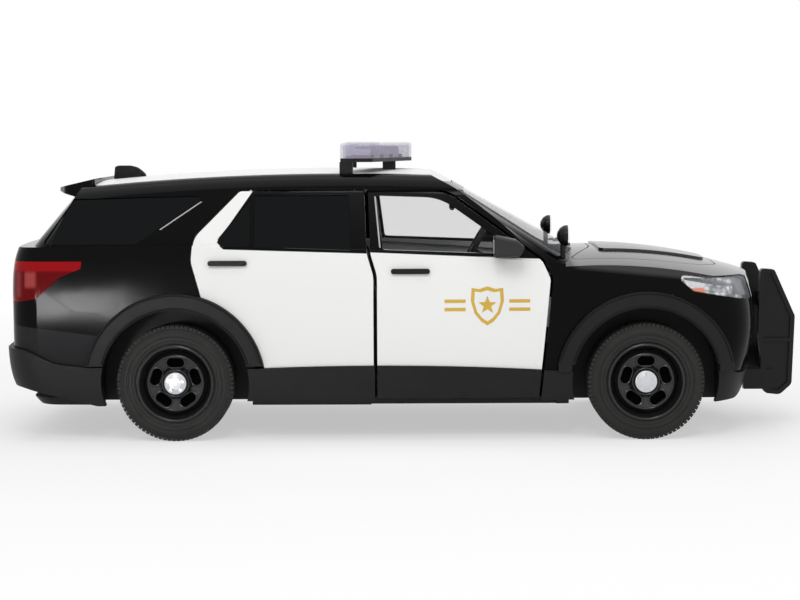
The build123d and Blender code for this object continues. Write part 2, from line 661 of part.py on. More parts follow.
ARM_PATH = ((0.0, 0.0), (-0.6, 2.4), (-4.0, 3.0), (-5.9, 0.5), (-5.9, -1.9))  # from the pin, inboard is positive
with BuildPart() as front_door:
    add(shell)
    add(front_door_form, mode=Mode.INTERSECT)
    add(sill_zone(TRIM_GAP), mode=Mode.SUBTRACT)
    add(front_window_cut, mode=Mode.SUBTRACT)
    for tool in swing_tools(lower_form(0.0)):
        add(tool, mode=Mode.SUBTRACT)
    with BuildSketch(Plane.XY.offset(HINGE_LOW_Z)):
        with BuildLine():
            Polyline(*((HINGE_X + x, y - HINGE_Y) for x, y in ARM_PATH))
        trace(line_width=ARM_T)
        with Locations((HINGE_X, -HINGE_Y)):
            Circle(ARM_R)
    extrude(amount=HINGE_HIGH_Z - HINGE_LOW_Z)
    with Locations((HINGE_X, -HINGE_Y, (HINGE_LOW_Z + HINGE_HIGH_Z) / 2)):
        Cylinder(PIN_R + PIN_CLEARANCE, HINGE_HIGH_Z, mode=Mode.SUBTRACT)
save_pair(front_door.part, "front_door")

with BuildPart() as front_door_glass:
    add(glass_skin)
    add(front_glass_form, mode=Mode.INTERSECT)
save_pair(front_door_glass.part, "front_door_glass")

with BuildPart() as front_door_trim:
    add(trim_skin)
    add(front_door_form, mode=Mode.INTERSECT)
    add(sill_zone(0.0), mode=Mode.INTERSECT)
    for tool in swing_tools(lower_form(-TRIM_PROUD)):
        add(tool, mode=Mode.SUBTRACT)
save_pair(front_door_trim.part, "front_door_trim")

with BuildPart() as sill_trims:
    add(trim_skin)
    add(sill_zone(0.0), mode=Mode.INTERSECT)
    with Locations((MID_X, 0, 0)):
        Box(WHEELBASE, REACH, 2 * SILL_Z, mode=Mode.SUBTRACT)
    add(front_door_cut, mode=Mode.SUBTRACT)
    add(left_of(front_door_cut), mode=Mode.SUBTRACT)
    add(front_well, mode=Mode.SUBTRACT)
    add(rear_well, mode=Mode.SUBTRACT)
save(sill_trims.part, "sill_trims")

with BuildPart() as rear_bumper:
    add(bumper_skin)
    add(rear_bumper_form, mode=Mode.INTERSECT)
    add(rear_well, mode=Mode.SUBTRACT)
save(rear_bumper.part, "rear_bumper")

with BuildPart() as front_bumper:
    add(lower_form(-TRIM_PROUD))
    add(front_bumper_form, mode=Mode.INTERSECT)
    add(lower_form(WALL), mode=Mode.SUBTRACT)
    add(front_well, mode=Mode.SUBTRACT)
save(front_bumper.part, "front_bumper")

with BuildPart() as arch_rings:
    with BuildSketch(Plane.XZ):
        with Locations((FRONT_AXLE_X, AXLE_Z), (REAR_AXLE_X, AXLE_Z)):
            Circle(ARCH_OUT_R)
            Circle(ARCH_IN_R, mode=Mode.SUBTRACT)
        with Locations((0, ARCH_FOOT_Z)):
            Rectangle(2 * REACH, REACH, align=(Align.CENTER, Align.MAX), mode=Mode.SUBTRACT)
    extrude(amount=REACH / 2, both=True)
    with Locations((0, 0, 0)):
        Box(2 * REACH, 2 * ARCH_NEAR_Y, REACH, mode=Mode.SUBTRACT)
with BuildPart() as arch_trims:
    add(bumper_skin)
    add(arch_rings.part, mode=Mode.INTERSECT)
save(arch_trims.part, "arch_trims")

GRILLE_BACK = 3.0
SLAT_COUNT = 5
SLAT_PITCH = 2.2
SLAT_LOW_Z = 30.4
SLAT_WINDOW = 1.5
grille_face = skin(lower_form(GLASS_IN), lower_form(WALL))
grille_block = skin(lower_form(GLASS_IN), lower_form(GRILLE_BACK))
with BuildPart() as grille_slots:
    with Locations(*((GRILLE_START_X, 0, SLAT_LOW_Z + SLAT_PITCH * row) for row in range(SLAT_COUNT))):
        Box(REACH, 38.0, SLAT_WINDOW, align=(Align.MIN, Align.CENTER, Align.CENTER))
    with Locations((GRILLE_START_X, 0, 22.2)):
        Box(REACH, 35.0, 3.6, align=(Align.MIN, Align.CENTER, Align.CENTER))
    add(grille_face, mode=Mode.INTERSECT)
with BuildPart() as grille:
    add(grille_block)
    add(grille_form, mode=Mode.INTERSECT)
    add(grille_slots.part, mode=Mode.SUBTRACT)
save(grille.part, "grille")
with BuildPart() as intake:
    add(grille_block)
    add(intake_form, mode=Mode.INTERSECT)
    add(grille_slots.part, mode=Mode.SUBTRACT)
save(intake.part, "intake")
with BuildPart() as vent_recess:
    add(vent_core)
    add(grille_face, mode=Mode.INTERSECT)
with BuildPart() as corner_vents:
    add(grille_block)
    add(vent_form, mode=Mode.INTERSECT)
    add(vent_recess.part, mode=Mode.SUBTRACT)
    add(left_of(corner_vents.part))
save(corner_vents.part, "corner_vents")

BUCKET_BACK = 4.0
with BuildPart() as headlamp_lenses:
    add(glass_skin)
    add(headlamp_form, mode=Mode.INTERSECT)
    add(left_of(headlamp_lenses.part))
save(headlamp_lenses.part, "headlamp_lenses")

with BuildPart() as headlamp_core_block:
    add(headlamp_core)
    add(lower_form(GRILLE_BACK), mode=Mode.SUBTRACT)
with BuildPart() as headlamp_buckets:
    add(lower_form(GLASS_IN + GLASS_T))
    add(lower_form(BUCKET_BACK), mode=Mode.SUBTRACT)
    add(headlamp_form, mode=Mode.INTERSECT)
    add(headlamp_core_block.part, mode=Mode.SUBTRACT)
    add(left_of(headlamp_buckets.part))
save(headlamp_buckets.part, "headlamp_buckets")

with BuildPart() as tail_lamps:
    add(shell)
    add(tail_lamp_form, mode=Mode.INTERSECT)
    add(tailgate_cut, mode=Mode.SUBTRACT)
    add(left_of(tail_lamps.part))
save(tail_lamps.part, "tail_lamps")

# Wheels. Sections are (depth behind the tyre's outer face, radius).
TYRE_SECTION = (
    (0.6, RIM_R + FIT),
    (0.0, RIM_R + 1.2),
    (0.0, TYRE_R - 2.2),
    (1.4, TYRE_R),
    (TYRE_W - 1.4, TYRE_R),
    (TYRE_W, TYRE_R - 2.2),
    (TYRE_W, RIM_R + FIT),
)
HUB_FACE = 1.5
WEB_BACK = 6.0
SLOT_DEPTH = 5.0  # slots are blind, measured from the tyre's outer face
RIM_SECTION = (
    (0.5, RIM_R),
    (0.5, RIM_R - RIM_WALL),
    (2.9, RIM_R - 1.8),
    (1.6, RIM_R - 3.1),
    (2.6, CAP_R + 0.9),
    (HUB_FACE, CAP_R),
    (HUB_FACE, AXLE_R + FIT),
    (TYRE_W - 1.0, AXLE_R + FIT),
    (TYRE_W - 1.0, HUB_R),
    (WEB_BACK, HUB_R + 0.6),
    (WEB_BACK, RIM_R - 1.6),
    (TYRE_W - 0.5, RIM_R - RIM_WALL),
    (TYRE_W - 0.5, RIM_R),
)
CAP_SECTION = ((0.4, 0.0), (0.5, CAP_R - 1.6), (0.9, CAP_R - 0.3), (HUB_FACE, CAP_R), (HUB_FACE, 0.0))
WHEEL_FACE_Y = (TRACK + TYRE_W) / 2


def wheel_pair(axle_x, section):
    """A section turned about the axle, at both ends of it."""
    with BuildPart() as pair:
        for side in (-1, 1):
            with BuildSketch(Plane((axle_x, 0, AXLE_Z), x_dir=(0, 1, 0), z_dir=(1, 0, 0))):
                with BuildLine():
                    Polyline(*((side * (WHEEL_FACE_Y - depth), r) for depth, r in section), close=True)
                make_face()
            revolve(axis=Axis((axle_x, 0, AXLE_Z), (0, 1, 0)), revolution_arc=360)
    return pair.part


LUG_RING_R = 2.1
LUG_R = 0.45
for axle_name, axle_x in (("front", FRONT_AXLE_X), ("rear", REAR_AXLE_X)):
    with BuildPart() as tyres:
        add(wheel_pair(axle_x, TYRE_SECTION))
    save(tyres.part, f"{axle_name}_tyres")
    with BuildPart() as rims:
        add(wheel_pair(axle_x, RIM_SECTION))
        for side in (-1, 1):
            with BuildSketch(Plane.XZ.offset(-side * WHEEL_FACE_Y)):
                with Locations((axle_x, AXLE_Z)):
                    with PolarLocations(SLOT_RING_R, SLOT_COUNT, start_angle=90):
                        SlotOverall(SLOT_LENGTH, SLOT_WIDTH, rotation=90)
            extrude(amount=side * SLOT_DEPTH, mode=Mode.SUBTRACT)
    save(rims.part, f"{axle_name}_rims")
    with BuildPart() as hub_caps:
        add(wheel_pair(axle_x, CAP_SECTION))
        for side in (-1, 1):
            with BuildSketch(Plane.XZ.offset(-side * (WHEEL_FACE_Y - 0.3))):
                with Locations((axle_x, AXLE_Z)):
                    with PolarLocations(LUG_RING_R, SLOT_COUNT, start_angle=90):
                        Circle(LUG_R)
            extrude(amount=side * 0.9)
    save(hub_caps.part, f"{axle_name}_hub_caps")
    with BuildPart() as axle:
        with Locations(Plane((axle_x, 0, AXLE_Z), x_dir=(1, 0, 0), z_dir=(0, 1, 0))):
            Cylinder(AXLE_R, 2 * (WHEEL_FACE_Y - HUB_FACE))
    save(axle.part, f"{axle_name}_axle")

# Base plate with wheel wells, axle bearings and the two screws of the display stand
SCREW_PITCH = 88.0
SCREW_HOLE_R = 1.25
SCREW_HOLE_DEPTH = 5.0
SCREW_BOSS_R = 3.2
TUB_Z = 16.0
TUB_T = 1.2
TUB_HALF = 33.0
LINER_OUT_Y = HALF_WIDTH - 2.0
WELL_WALL_Y = LINER_IN_Y - LINER_WALL
DOOR_CLEAR_Y = HALF_WIDTH - 4.7

with BuildPart() as well_spaces:
    for axle_x in (FRONT_AXLE_X, REAR_AXLE_X):
        for side in (-1, 1):
            with BuildSketch(Plane.XZ.offset(-side * LINER_IN_Y)):
                with Locations((axle_x, AXLE_Z)):
                    Circle(LINER_R)
                    with Locations((0, 0)):
                        Rectangle(2 * LINER_R, REACH, align=(Align.CENTER, Align.MAX))
            extrude(amount=-side * REACH / 2)

with BuildPart() as chassis:
    add(lower_form(WALL))
    with Locations((0, 0, FLOOR_Z)):
        Box(2 * REACH, REACH, FLOOR_T, align=(Align.CENTER, Align.CENTER, Align.MIN), mode=Mode.INTERSECT)
    with Locations(*(((DOOR_FRONT_X + DOOR_REAR_X) / 2, side * DOOR_CLEAR_Y, 0) for side in (-1, 1))):
        Box(DOOR_FRONT_X - DOOR_REAR_X + 2.0, 2.0, REACH, mode=Mode.SUBTRACT)
    for axle_x in (FRONT_AXLE_X, REAR_AXLE_X):
        for side in (-1, 1):
            with BuildSketch(Plane.XZ.offset(-side * WELL_WALL_Y)):
                with Locations((axle_x, AXLE_Z)):
                    Circle(LINER_R + LINER_WALL)
                    Rectangle(REACH, REACH, align=(Align.CENTER, Align.MAX), mode=Mode.SUBTRACT)
                    Rectangle(2 * (LINER_R + LINER_WALL), AXLE_Z - FLOOR_Z, align=(Align.CENTER, Align.MAX))
            extrude(amount=-side * (LINER_OUT_Y - WELL_WALL_Y))
    add(well_spaces.part, mode=Mode.SUBTRACT)
    add(lower_form(WALL), mode=Mode.INTERSECT)
    with BuildSketch(Plane.XY.offset(FLOOR_Z)):
        with GridLocations(SCREW_PITCH, 1, 2, 1):
            with Locations((MID_X, 0)):
                Circle(SCREW_BOSS_R)
    extrude(amount=TUB_Z - FLOOR_Z)
    with BuildSketch(Plane.XY.offset(FLOOR_Z)):
        with GridLocations(SCREW_PITCH, 1, 2, 1):
            with Locations((MID_X, 0)):
                Circle(SCREW_HOLE_R)
    extrude(amount=SCREW_HOLE_DEPTH, mode=Mode.SUBTRACT)
    with BuildSketch(Plane.XZ):
        with Locations((FRONT_AXLE_X, AXLE_Z), (REAR_AXLE_X, AXLE_Z)):
            Circle(AXLE_R + AXLE_CLEARANCE)
    extrude(amount=REACH / 2, both=True, mode=Mode.SUBTRACT)
save(chassis.part, "chassis")

# Cabin
FIREWALL_X = FRONT_AXLE_X - 25.0
FIREWALL_Z = 44.0
CARGO_X = REAR_AXLE_X + 23.0
CARGO_Z = 38.5
CARGO_END_X = REAR_X + 8.0
with BuildPart() as cabin_tub:
    with BuildSketch(Plane.XZ):
        with BuildLine():
            Polyline(
                (FIREWALL_X, FIREWALL_Z),
                (FIREWALL_X, TUB_Z),
                (CARGO_X, TUB_Z),
                (CARGO_X, CARGO_Z),
                (CARGO_END_X, CARGO_Z),
                (CARGO_END_X, CARGO_Z + TUB_T),
                (CARGO_X + TUB_T, CARGO_Z + TUB_T),
                (CARGO_X + TUB_T, TUB_Z + TUB_T),
                (FIREWALL_X - TUB_T, TUB_Z + TUB_T),
                (FIREWALL_X - TUB_T, FIREWALL_Z),
                close=True,
            )
        make_face()
    extrude(amount=TUB_HALF, both=True)
save(cabin_tub.part, "cabin_tub")

SEAT_Z = TUB_Z + TUB_T
SEAT_SIDE = ((0.0, 0.0), (19.0, 0.0), (20.0, 8.6), (6.2, 8.0), (1.0, 33.0), (-4.2, 33.0), (-0.6, 8.0))
SEAT_R = (0.5, 0.5, 1.5, 3.0, 1.5, 1.5, 4.0)
REST_SIDE = ((-3.6, 33.0), (-0.6, 33.0), (-0.9, 38.6), (-3.9, 38.6))
REST_R = (0.1, 0.1, 1.2, 1.2)
FRONT_SEAT_X = MID_X - 13.0
FRONT_SEAT_Y = 17.0
SEAT_W = 19.0
REST_W = 10.0
with BuildPart() as front_seats:
    for side in (-1, 1):
        for outline, radii, width in ((SEAT_SIDE, SEAT_R, SEAT_W), (REST_SIDE, REST_R, REST_W)):
            points = [(FRONT_SEAT_X + x, SEAT_Z + z) for x, z in outline]
            add(side_prism(points, radii, -side * FRONT_SEAT_Y - width / 2, -side * FRONT_SEAT_Y + width / 2))
save(front_seats.part, "front_seats")

REAR_SEAT_X = CARGO_X + TUB_T + 4.3
with BuildPart() as rear_seat:
    points = [(REAR_SEAT_X + x, SEAT_Z + z) for x, z in SEAT_SIDE]
    add(side_prism(points, SEAT_R, -TUB_HALF + 1.0, TUB_HALF - 1.0))
save(rear_seat.part, "rear_seat")

DASH_POINTS = (
    (FIREWALL_X - TUB_T, 30.0),
    (FIREWALL_X - TUB_T, 45.0),
    (FIREWALL_X - 9.0, 46.2),
    (FIREWALL_X - 17.0, 43.0),
    (FIREWALL_X - 15.0, 34.0),
)
DASH_R = (0.1, 2.0, 3.0, 3.0, 4.0)
with BuildPart() as dashboard:
    add(side_prism(DASH_POINTS, DASH_R, -TUB_HALF, TUB_HALF))
save(dashboard.part, "dashboard")

STEERING_R = 7.4
STEERING_RIM_R = 0.8
STEERING_TILT = 25.0
STEERING_Y = FRONT_SEAT_Y
steering_plane = Plane((FIREWALL_X - 20.0, STEERING_Y, 39.5), x_dir=(0, 1, 0), z_dir=(-1, 0, 0)).rotated((STEERING_TILT, 0, 0))
with BuildPart() as steering_wheel:
    with Locations(steering_plane):
        Cylinder(2.0, 1.6)
        for spoke_turn in (90, 210, 330):
            with Locations(Rot(0, 0, spoke_turn)):
                Box(STEERING_R, 1.4, 1.0, align=(Align.MIN, Align.CENTER, Align.CENTER))
        Cylinder(0.9, 12.0, align=(Align.CENTER, Align.CENTER, Align.MAX))
    with BuildSketch(Plane(steering_plane.origin, x_dir=steering_plane.x_dir, z_dir=steering_plane.y_dir)):
        with Locations((STEERING_R, 0)):
            RegularPolygon(STEERING_RIM_R, 6)
    revolve(axis=Axis(steering_plane.origin, steering_plane.z_dir), revolution_arc=360)
    add(dashboard.part, mode=Mode.SUBTRACT)
save(steering_wheel.part, "steering_wheel")

# Roof and tail pieces
SPOILER_HALF = 25.5
SPOILER_POINTS = (
    (REAR_AXLE_X - 22.6, ROOF_Z - 2.2),
    (REAR_AXLE_X - 33.4, ROOF_Z - 4.7),
    (REAR_AXLE_X - 33.8, ROOF_Z - 5.6),
    (REAR_AXLE_X - 28.0, ROOF_Z - 7.2),
    (REAR_AXLE_X - 22.6, ROOF_Z - 7.2),
)
SPOILER_R = (0.1, 0.4, 0.4, 3.0, 0.1)
SPOILER_PLAN = mirrored(
    ((REAR_AXLE_X - 22.8, SPOILER_HALF), (REAR_AXLE_X - 31.0, SPOILER_HALF - 1.5), (REAR_AXLE_X - 34.2, 16.0))
)
SPOILER_PLAN_R = (0.5, 3.0, 20.0, 20.0, 3.0, 0.5)
with BuildPart() as spoiler:
    add(through_prism(SPOILER_POINTS, SPOILER_R))
    add(plan_prism(SPOILER_PLAN, SPOILER_PLAN_R, 0, TOOL_Z), mode=Mode.INTERSECT)
    add(outer, mode=Mode.SUBTRACT)
save(spoiler.part.solids().sort_by(SortBy.VOLUME)[-1], "spoiler")

FIN_X = REAR_AXLE_X - 21.0
FIN_LENGTH = 9.0
FIN_TOP_Z = ROOF_Z + 0.9
FIN_HALF = 1.4
with BuildPart() as antenna_fin:
    with BuildSketch(Plane.XZ):
        with BuildLine():
            Polyline((FIN_X, ROOF_Z - 6.0), (FIN_X, FIN_TOP_Z - 0.8), (FIN_X + 0.6, FIN_TOP_Z))
            Polyline((FIN_X + 0.6, FIN_TOP_Z), (FIN_X + 1.6, FIN_TOP_Z), (FIN_X + FIN_LENGTH, ROOF_Z - 2.0))
            Polyline((FIN_X + FIN_LENGTH, ROOF_Z - 2.0), (FIN_X + FIN_LENGTH, ROOF_Z - 6.0), (FIN_X, ROOF_Z - 6.0))
        make_face()
    extrude(amount=FIN_HALF, both=True)
    add(outer, mode=Mode.SUBTRACT)
save(antenna_fin.part, "antenna_fin")

# Light bar, swept back from a point over the centre line
BAR_FRONT_X = MID_X + 0.9
BAR_DEPTH = 9.2
BAR_SWEEP = 11.2
BAR_HALF = 27.0
BAR_Z = ROOF_Z + 2.0
BAR_BASE_T = 1.0
BAR_TOP_Z = ROOF_Z + 7.2
BAR_EDGE_R = 0.8
LENS_WALL = 0.7
BAR_POINTS = (
    (BAR_FRONT_X, 0.0),
    (BAR_FRONT_X - BAR_SWEEP, -BAR_HALF),
    (BAR_FRONT_X - BAR_SWEEP - BAR_DEPTH, -BAR_HALF),
    (BAR_FRONT_X - BAR_DEPTH, 0.0),
    (BAR_FRONT_X - BAR_SWEEP - BAR_DEPTH, BAR_HALF),
    (BAR_FRONT_X - BAR_SWEEP, BAR_HALF),
)
BAR_R = (3.0, 1.2, 1.2, 3.0, 1.2, 1.2)
FOOT_ROWS = ((-6.6, 9.0), (-18.2, 24.5))  # x from the bar's point, distance from the centre line
FOOT_L = 3.6
FOOT_W = 3.4
with BuildPart() as light_bar_base:
    add(plan_prism(BAR_POINTS, BAR_R, BAR_Z, BAR_Z + BAR_BASE_T))
    for foot_x, foot_y in FOOT_ROWS:
        with Locations(*((BAR_FRONT_X + foot_x, side * foot_y, BAR_Z) for side in (-1, 1))):
            Box(FOOT_L, FOOT_W, 6.0, align=(Align.CENTER, Align.CENTER, Align.MAX))
    add(outer, mode=Mode.SUBTRACT)
save(light_bar_base.part, "light_bar_base")

with BuildPart() as light_bar_lens:
    add(plan_prism(BAR_POINTS, BAR_R, BAR_Z + BAR_BASE_T, BAR_TOP_Z))
    fillet(light_bar_lens.faces().sort_by(Axis.Z)[-1].edges(), BAR_EDGE_R)
    add(
        plan_prism(BAR_POINTS, BAR_R, BAR_Z + BAR_BASE_T, BAR_TOP_Z - LENS_WALL, grow=-LENS_WALL),
        mode=Mode.SUBTRACT,
    )
save(light_bar_lens.part, "light_bar_lens")

POD_COUNT = 4  # lamps on each side of the centre line
POD_PITCH = 6.2
POD_FIRST_Y = 3.6
POD_L = 4.4
POD_W = 5.0
POD_H = 2.4
with BuildPart() as light_bar_lamps:
    for row in range(POD_COUNT):
        pod_y = POD_FIRST_Y + POD_PITCH * row
        pod_x = BAR_FRONT_X - BAR_DEPTH / 2 - BAR_SWEEP * pod_y / BAR_HALF
        with Locations(*((pod_x, side * pod_y, BAR_Z + BAR_BASE_T) for side in (-1, 1))):
            Box(POD_L, POD_W, POD_H, align=(Align.CENTER, Align.CENTER, Align.MIN))
save(light_bar_lamps.part, "light_bar_lamps")

# Push bumper: two upright plates with raised rims, joined by cross members and held on brackets
PUSH_POINTS = (
    (FRONT_X - 9.7, 44.2),
    (FRONT_X - 5.8, 43.9),
    (FRONT_X, 31.0),
    (FRONT_X - 0.7, 11.9),
    (FRONT_X - 4.0, 8.9),
    (FRONT_X - 8.5, 9.4),
    (FRONT_X - 10.1, 27.4),
)
PUSH_R = (1.0, 1.0, 2.0, 2.0, 2.0, 1.5, 1.0)
PUSH_Y = 15.0
PUSH_T = 2.6
PUSH_RIM = 1.2
PUSH_RECESS = 0.8
PUSH_RIB_Z = 24.3
PUSH_RIB_T = 1.0
CROSS_ROWS = ((13.0, 7.0, 3.4, 2.2), (31.5, 4.0, 4.4, 2.2))  # low z, height, back from FRONT_X, thickness
BRACKET_Z = 10.5
BRACKET_H = 5.6
push_upright = side_prism(PUSH_POINTS, PUSH_R, PUSH_Y - PUSH_T / 2, PUSH_Y + PUSH_T / 2)
with BuildPart() as push_recess:
    add(side_prism(PUSH_POINTS, PUSH_R, PUSH_Y + PUSH_T / 2 - PUSH_RECESS, REACH / 2, grow=-PUSH_RIM))
    with Locations((FRONT_X, 0, PUSH_RIB_Z)):
        Box(REACH, REACH, PUSH_RIB_T, mode=Mode.SUBTRACT)
with BuildPart() as push_side:
    add(push_upright)
    add(push_recess.part, mode=Mode.SUBTRACT)
    with Locations((FRONT_X - 14.0, -PUSH_Y, BRACKET_Z)):
        Box(8.0, PUSH_T, BRACKET_H, align=(Align.MIN, Align.CENTER, Align.MIN))
    add(lower_form(-TRIM_PROUD), mode=Mode.SUBTRACT)
with BuildPart() as push_bumper:
    add(push_side.part)
    add(left_of(push_side.part))
    for low_z, height, back, thick in CROSS_ROWS:
        with Locations((FRONT_X - back, 0, low_z)):
            Box(thick, 2 * PUSH_Y, height, align=(Align.CENTER, Align.CENTER, Align.MIN))
save(push_bumper.part, "push_bumper")

# Pillar spotlights
SPOT_X = FRONT_AXLE_X - 20.1
SPOT_Y = 32.0
SPOT_Z = 54.4
SPOT_R = 2.85
SPOT_DEPTH = 3.4
SPOT_STEM_R = 0.7
SPOT_LENS_T = 0.5
SPOT_SECTION = (  # depth behind the front, radius
    (SPOT_LENS_T, 0.0),
    (SPOT_LENS_T, SPOT_R),
    (0.45 * SPOT_DEPTH, 0.96 * SPOT_R),
    (0.75 * SPOT_DEPTH, 0.72 * SPOT_R),
    (0.95 * SPOT_DEPTH, 0.34 * SPOT_R),
    (SPOT_DEPTH, 0.0),
)
with BuildPart() as spotlights:
    for side in (-1, 1):
        with BuildSketch(Plane((SPOT_X, side * SPOT_Y, SPOT_Z), x_dir=(1, 0, 0), z_dir=(0, -1, 0))):
            with BuildLine():
                Polyline(*((-depth, r) for depth, r in SPOT_SECTION), close=True)
            make_face()
        revolve(axis=Axis((SPOT_X, side * SPOT_Y, SPOT_Z), (1, 0, 0)), revolution_arc=360)
        with Locations((SPOT_X - SPOT_DEPTH / 2, side * SPOT_Y, SPOT_Z)):
            Cylinder(SPOT_STEM_R, 12.0, align=(Align.CENTER, Align.CENTER, Align.MAX))
    add(outer, mode=Mode.SUBTRACT)
    add(inner, mode=Mode.SUBTRACT)
save(spotlights.part, "spotlights")

with BuildPart() as spotlight_lenses:
    with Locations(*((SPOT_X, side * SPOT_Y, SPOT_Z) for side in (-1, 1))):
        Cylinder(SPOT_R - 0.25, SPOT_LENS_T, rotation=(0, 90, 0), align=(Align.CENTER, Align.CENTER, Align.MAX))
save(spotlight_lenses.part, "spotlight_lenses")

# Mirrors and handles
MIRROR_IN_Y = HALF_WIDTH - 2.4
MIRROR_OUT_Y = HALF_WIDTH + 4.6
MIRROR_POINTS = (
    (FRONT_AXLE_X - 41.0, 49.2),
    (FRONT_AXLE_X - 34.2, 49.6),
    (FRONT_AXLE_X - 32.6, 52.0),
    (FRONT_AXLE_X - 35.0, 54.0),
    (FRONT_AXLE_X - 41.0, 55.3),
)
MIRROR_R = (0.8, 1.2, 1.2, 1.5, 0.8)
MIRROR_ARM_L = 5.0
MIRROR_ARM_H = 1.4
MIRROR_EDGE_R = 1.0
with BuildPart() as mirror_head:
    add(side_prism(MIRROR_POINTS, MIRROR_R, MIRROR_IN_Y, MIRROR_OUT_Y))
    fillet(mirror_head.faces().sort_by(Axis.Y)[0].edges(), MIRROR_EDGE_R)
    with Locations((FRONT_AXLE_X - 37.0, -MIRROR_IN_Y - 1.0, 49.4)):
        Box(MIRROR_ARM_L, 6.0, MIRROR_ARM_H, align=(Align.CENTER, Align.MIN, Align.MIN))
    add(outer, mode=Mode.SUBTRACT)
save_pair(mirror_head.part.solids().sort_by(SortBy.VOLUME)[-1], "mirror")

HANDLE_L = 10.4
HANDLE_H = 1.4
HANDLE_PROUD = 0.8
HANDLE_ROWS = (("front_handle", DOOR_REAR_X + 9.6, 45.5, 1.5), ("rear_handle", REAR_AXLE_X + 14.3, 47.8, 1.8))
for handle_name, handle_x, handle_z, skin_in in HANDLE_ROWS:
    with BuildPart() as handle:
        with BuildSketch(Plane.XZ.offset(HALF_WIDTH - skin_in - 2.0)):
            with Locations((handle_x, handle_z)):
                SlotOverall(HANDLE_L, HANDLE_H)
        extrude(amount=2.0 + HANDLE_PROUD)
        add(outer, mode=Mode.SUBTRACT)
    save_pair(handle.part, handle_name)
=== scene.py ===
"""Looks for a 1:24 die-cast model of a police sport-utility car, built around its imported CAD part."""

import math

import bmesh
import bpy
from mathutils import Matrix, Vector
from mathutils.bvhtree import BVHTree


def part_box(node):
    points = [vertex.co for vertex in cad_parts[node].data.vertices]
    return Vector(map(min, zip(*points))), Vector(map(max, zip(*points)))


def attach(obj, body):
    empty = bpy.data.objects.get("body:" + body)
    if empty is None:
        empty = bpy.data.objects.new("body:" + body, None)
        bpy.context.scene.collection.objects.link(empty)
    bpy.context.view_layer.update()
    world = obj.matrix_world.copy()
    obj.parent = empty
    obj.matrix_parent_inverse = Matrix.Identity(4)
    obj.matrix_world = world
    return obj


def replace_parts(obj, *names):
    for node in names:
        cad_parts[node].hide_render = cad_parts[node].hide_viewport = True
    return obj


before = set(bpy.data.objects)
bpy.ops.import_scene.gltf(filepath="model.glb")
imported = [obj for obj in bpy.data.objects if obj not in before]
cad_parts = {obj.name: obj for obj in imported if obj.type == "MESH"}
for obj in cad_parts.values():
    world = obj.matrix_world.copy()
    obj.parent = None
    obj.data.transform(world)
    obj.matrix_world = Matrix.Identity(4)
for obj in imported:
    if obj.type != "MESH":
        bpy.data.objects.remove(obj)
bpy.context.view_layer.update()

bl_info = {
    "name": "Die-cast Patrol Car Looks",
    "version": (1, 0, 0),
    "blender": (4, 5, 0),
    "location": "3D View > Sidebar > Patrol Car",
    "description": "Paints, glass, tyres, lamps and small trim of a die-cast patrol car",
    "category": "Object",
}

MM = 0.001
AHEAD, ACROSS, UP = Vector((1.0, 0.0, 0.0)), Vector((0.0, 1.0, 0.0)), Vector((0.0, 0.0, 1.0))
# sign of Y on each side of the car
SIDE_NAMES = {-1: "right", 1: "left"}
# where points are cast from, in millimetres: beside the car, and behind a piece
OUTSIDE = 80.0
BEHIND = 10.0
# vertices closer than this are one, in millimetres
MERGE = 1e-5
# how often a print's triangles are divided
PRINT_CUTS = 2


def node_object(name):
    """The CAD node's object."""
    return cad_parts[name]


def box_mm(name):
    """A CAD node's lowest and highest corners, in millimetres."""
    low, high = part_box(name)
    return low / MM, high / MM


def middle(name):
    """The middle of a CAD node's box, in millimetres."""
    low, high = box_mm(name)
    return (low + high) / 2


def radius_of(name):
    """The radius of the wheels' pieces in a CAD node, in millimetres."""
    low, high = box_mm(name)
    return (high.z - low.z) / 2


AXLES = {end: middle(f"{end}_axle") for end in ("front", "rear")}
TYRE_R = radius_of("front_tyres")
RIM_R = radius_of("front_rims")
TYRE_FACE_Y = box_mm("front_tyres")[1].y


class PatrolPaint(bpy.types.PropertyGroup):
    """Colours of the paint, plastic and glass."""

    black: bpy.props.FloatVectorProperty(
        name="Black paint", description="Body, hood and tailgate", subtype="COLOR", size=4,
        default=(0.002, 0.002, 0.0024, 1.0),
    )
    white: bpy.props.FloatVectorProperty(
        name="White paint", description="Doors and roof", subtype="COLOR", size=4,
        default=(0.82, 0.82, 0.81, 1.0),
    )
    trim: bpy.props.FloatVectorProperty(
        name="Moulded trim", description="Arches, sills and bumpers", subtype="COLOR", size=4,
        default=(0.0075, 0.0076, 0.0078, 1.0),
    )
    tint: bpy.props.FloatVectorProperty(
        name="Dark glass", description="Rear windows", subtype="COLOR", size=4,
        default=(0.0015, 0.0022, 0.0026, 1.0),
    )
    red: bpy.props.FloatVectorProperty(
        name="Red lens", description="Tail lamps", subtype="COLOR", size=4,
        default=(0.12, 0.0015, 0.0025, 1.0),
    )
    gold: bpy.props.FloatVectorProperty(
        name="Gold print", description="Emblem on the front doors", subtype="COLOR", size=4,
        default=(0.62, 0.40, 0.06, 1.0),
    )


class PatrolSizes(bpy.types.PropertyGroup):
    """Sizes of the small pieces, in millimetres."""

    lug_count: bpy.props.IntProperty(name="Lugs", description="Tread lugs round each tyre", default=78)
    lug_height: bpy.props.FloatProperty(
        name="Lug height", description="Above the tread's base, mm", default=0.5
    )
    lug_share: bpy.props.FloatProperty(
        name="Lug share", description="Lug length as a share of the pitch", subtype="FACTOR", default=0.8
    )
    print_lift: bpy.props.FloatProperty(
        name="Print", description="Printed emblem above the paint, mm", default=0.04
    )


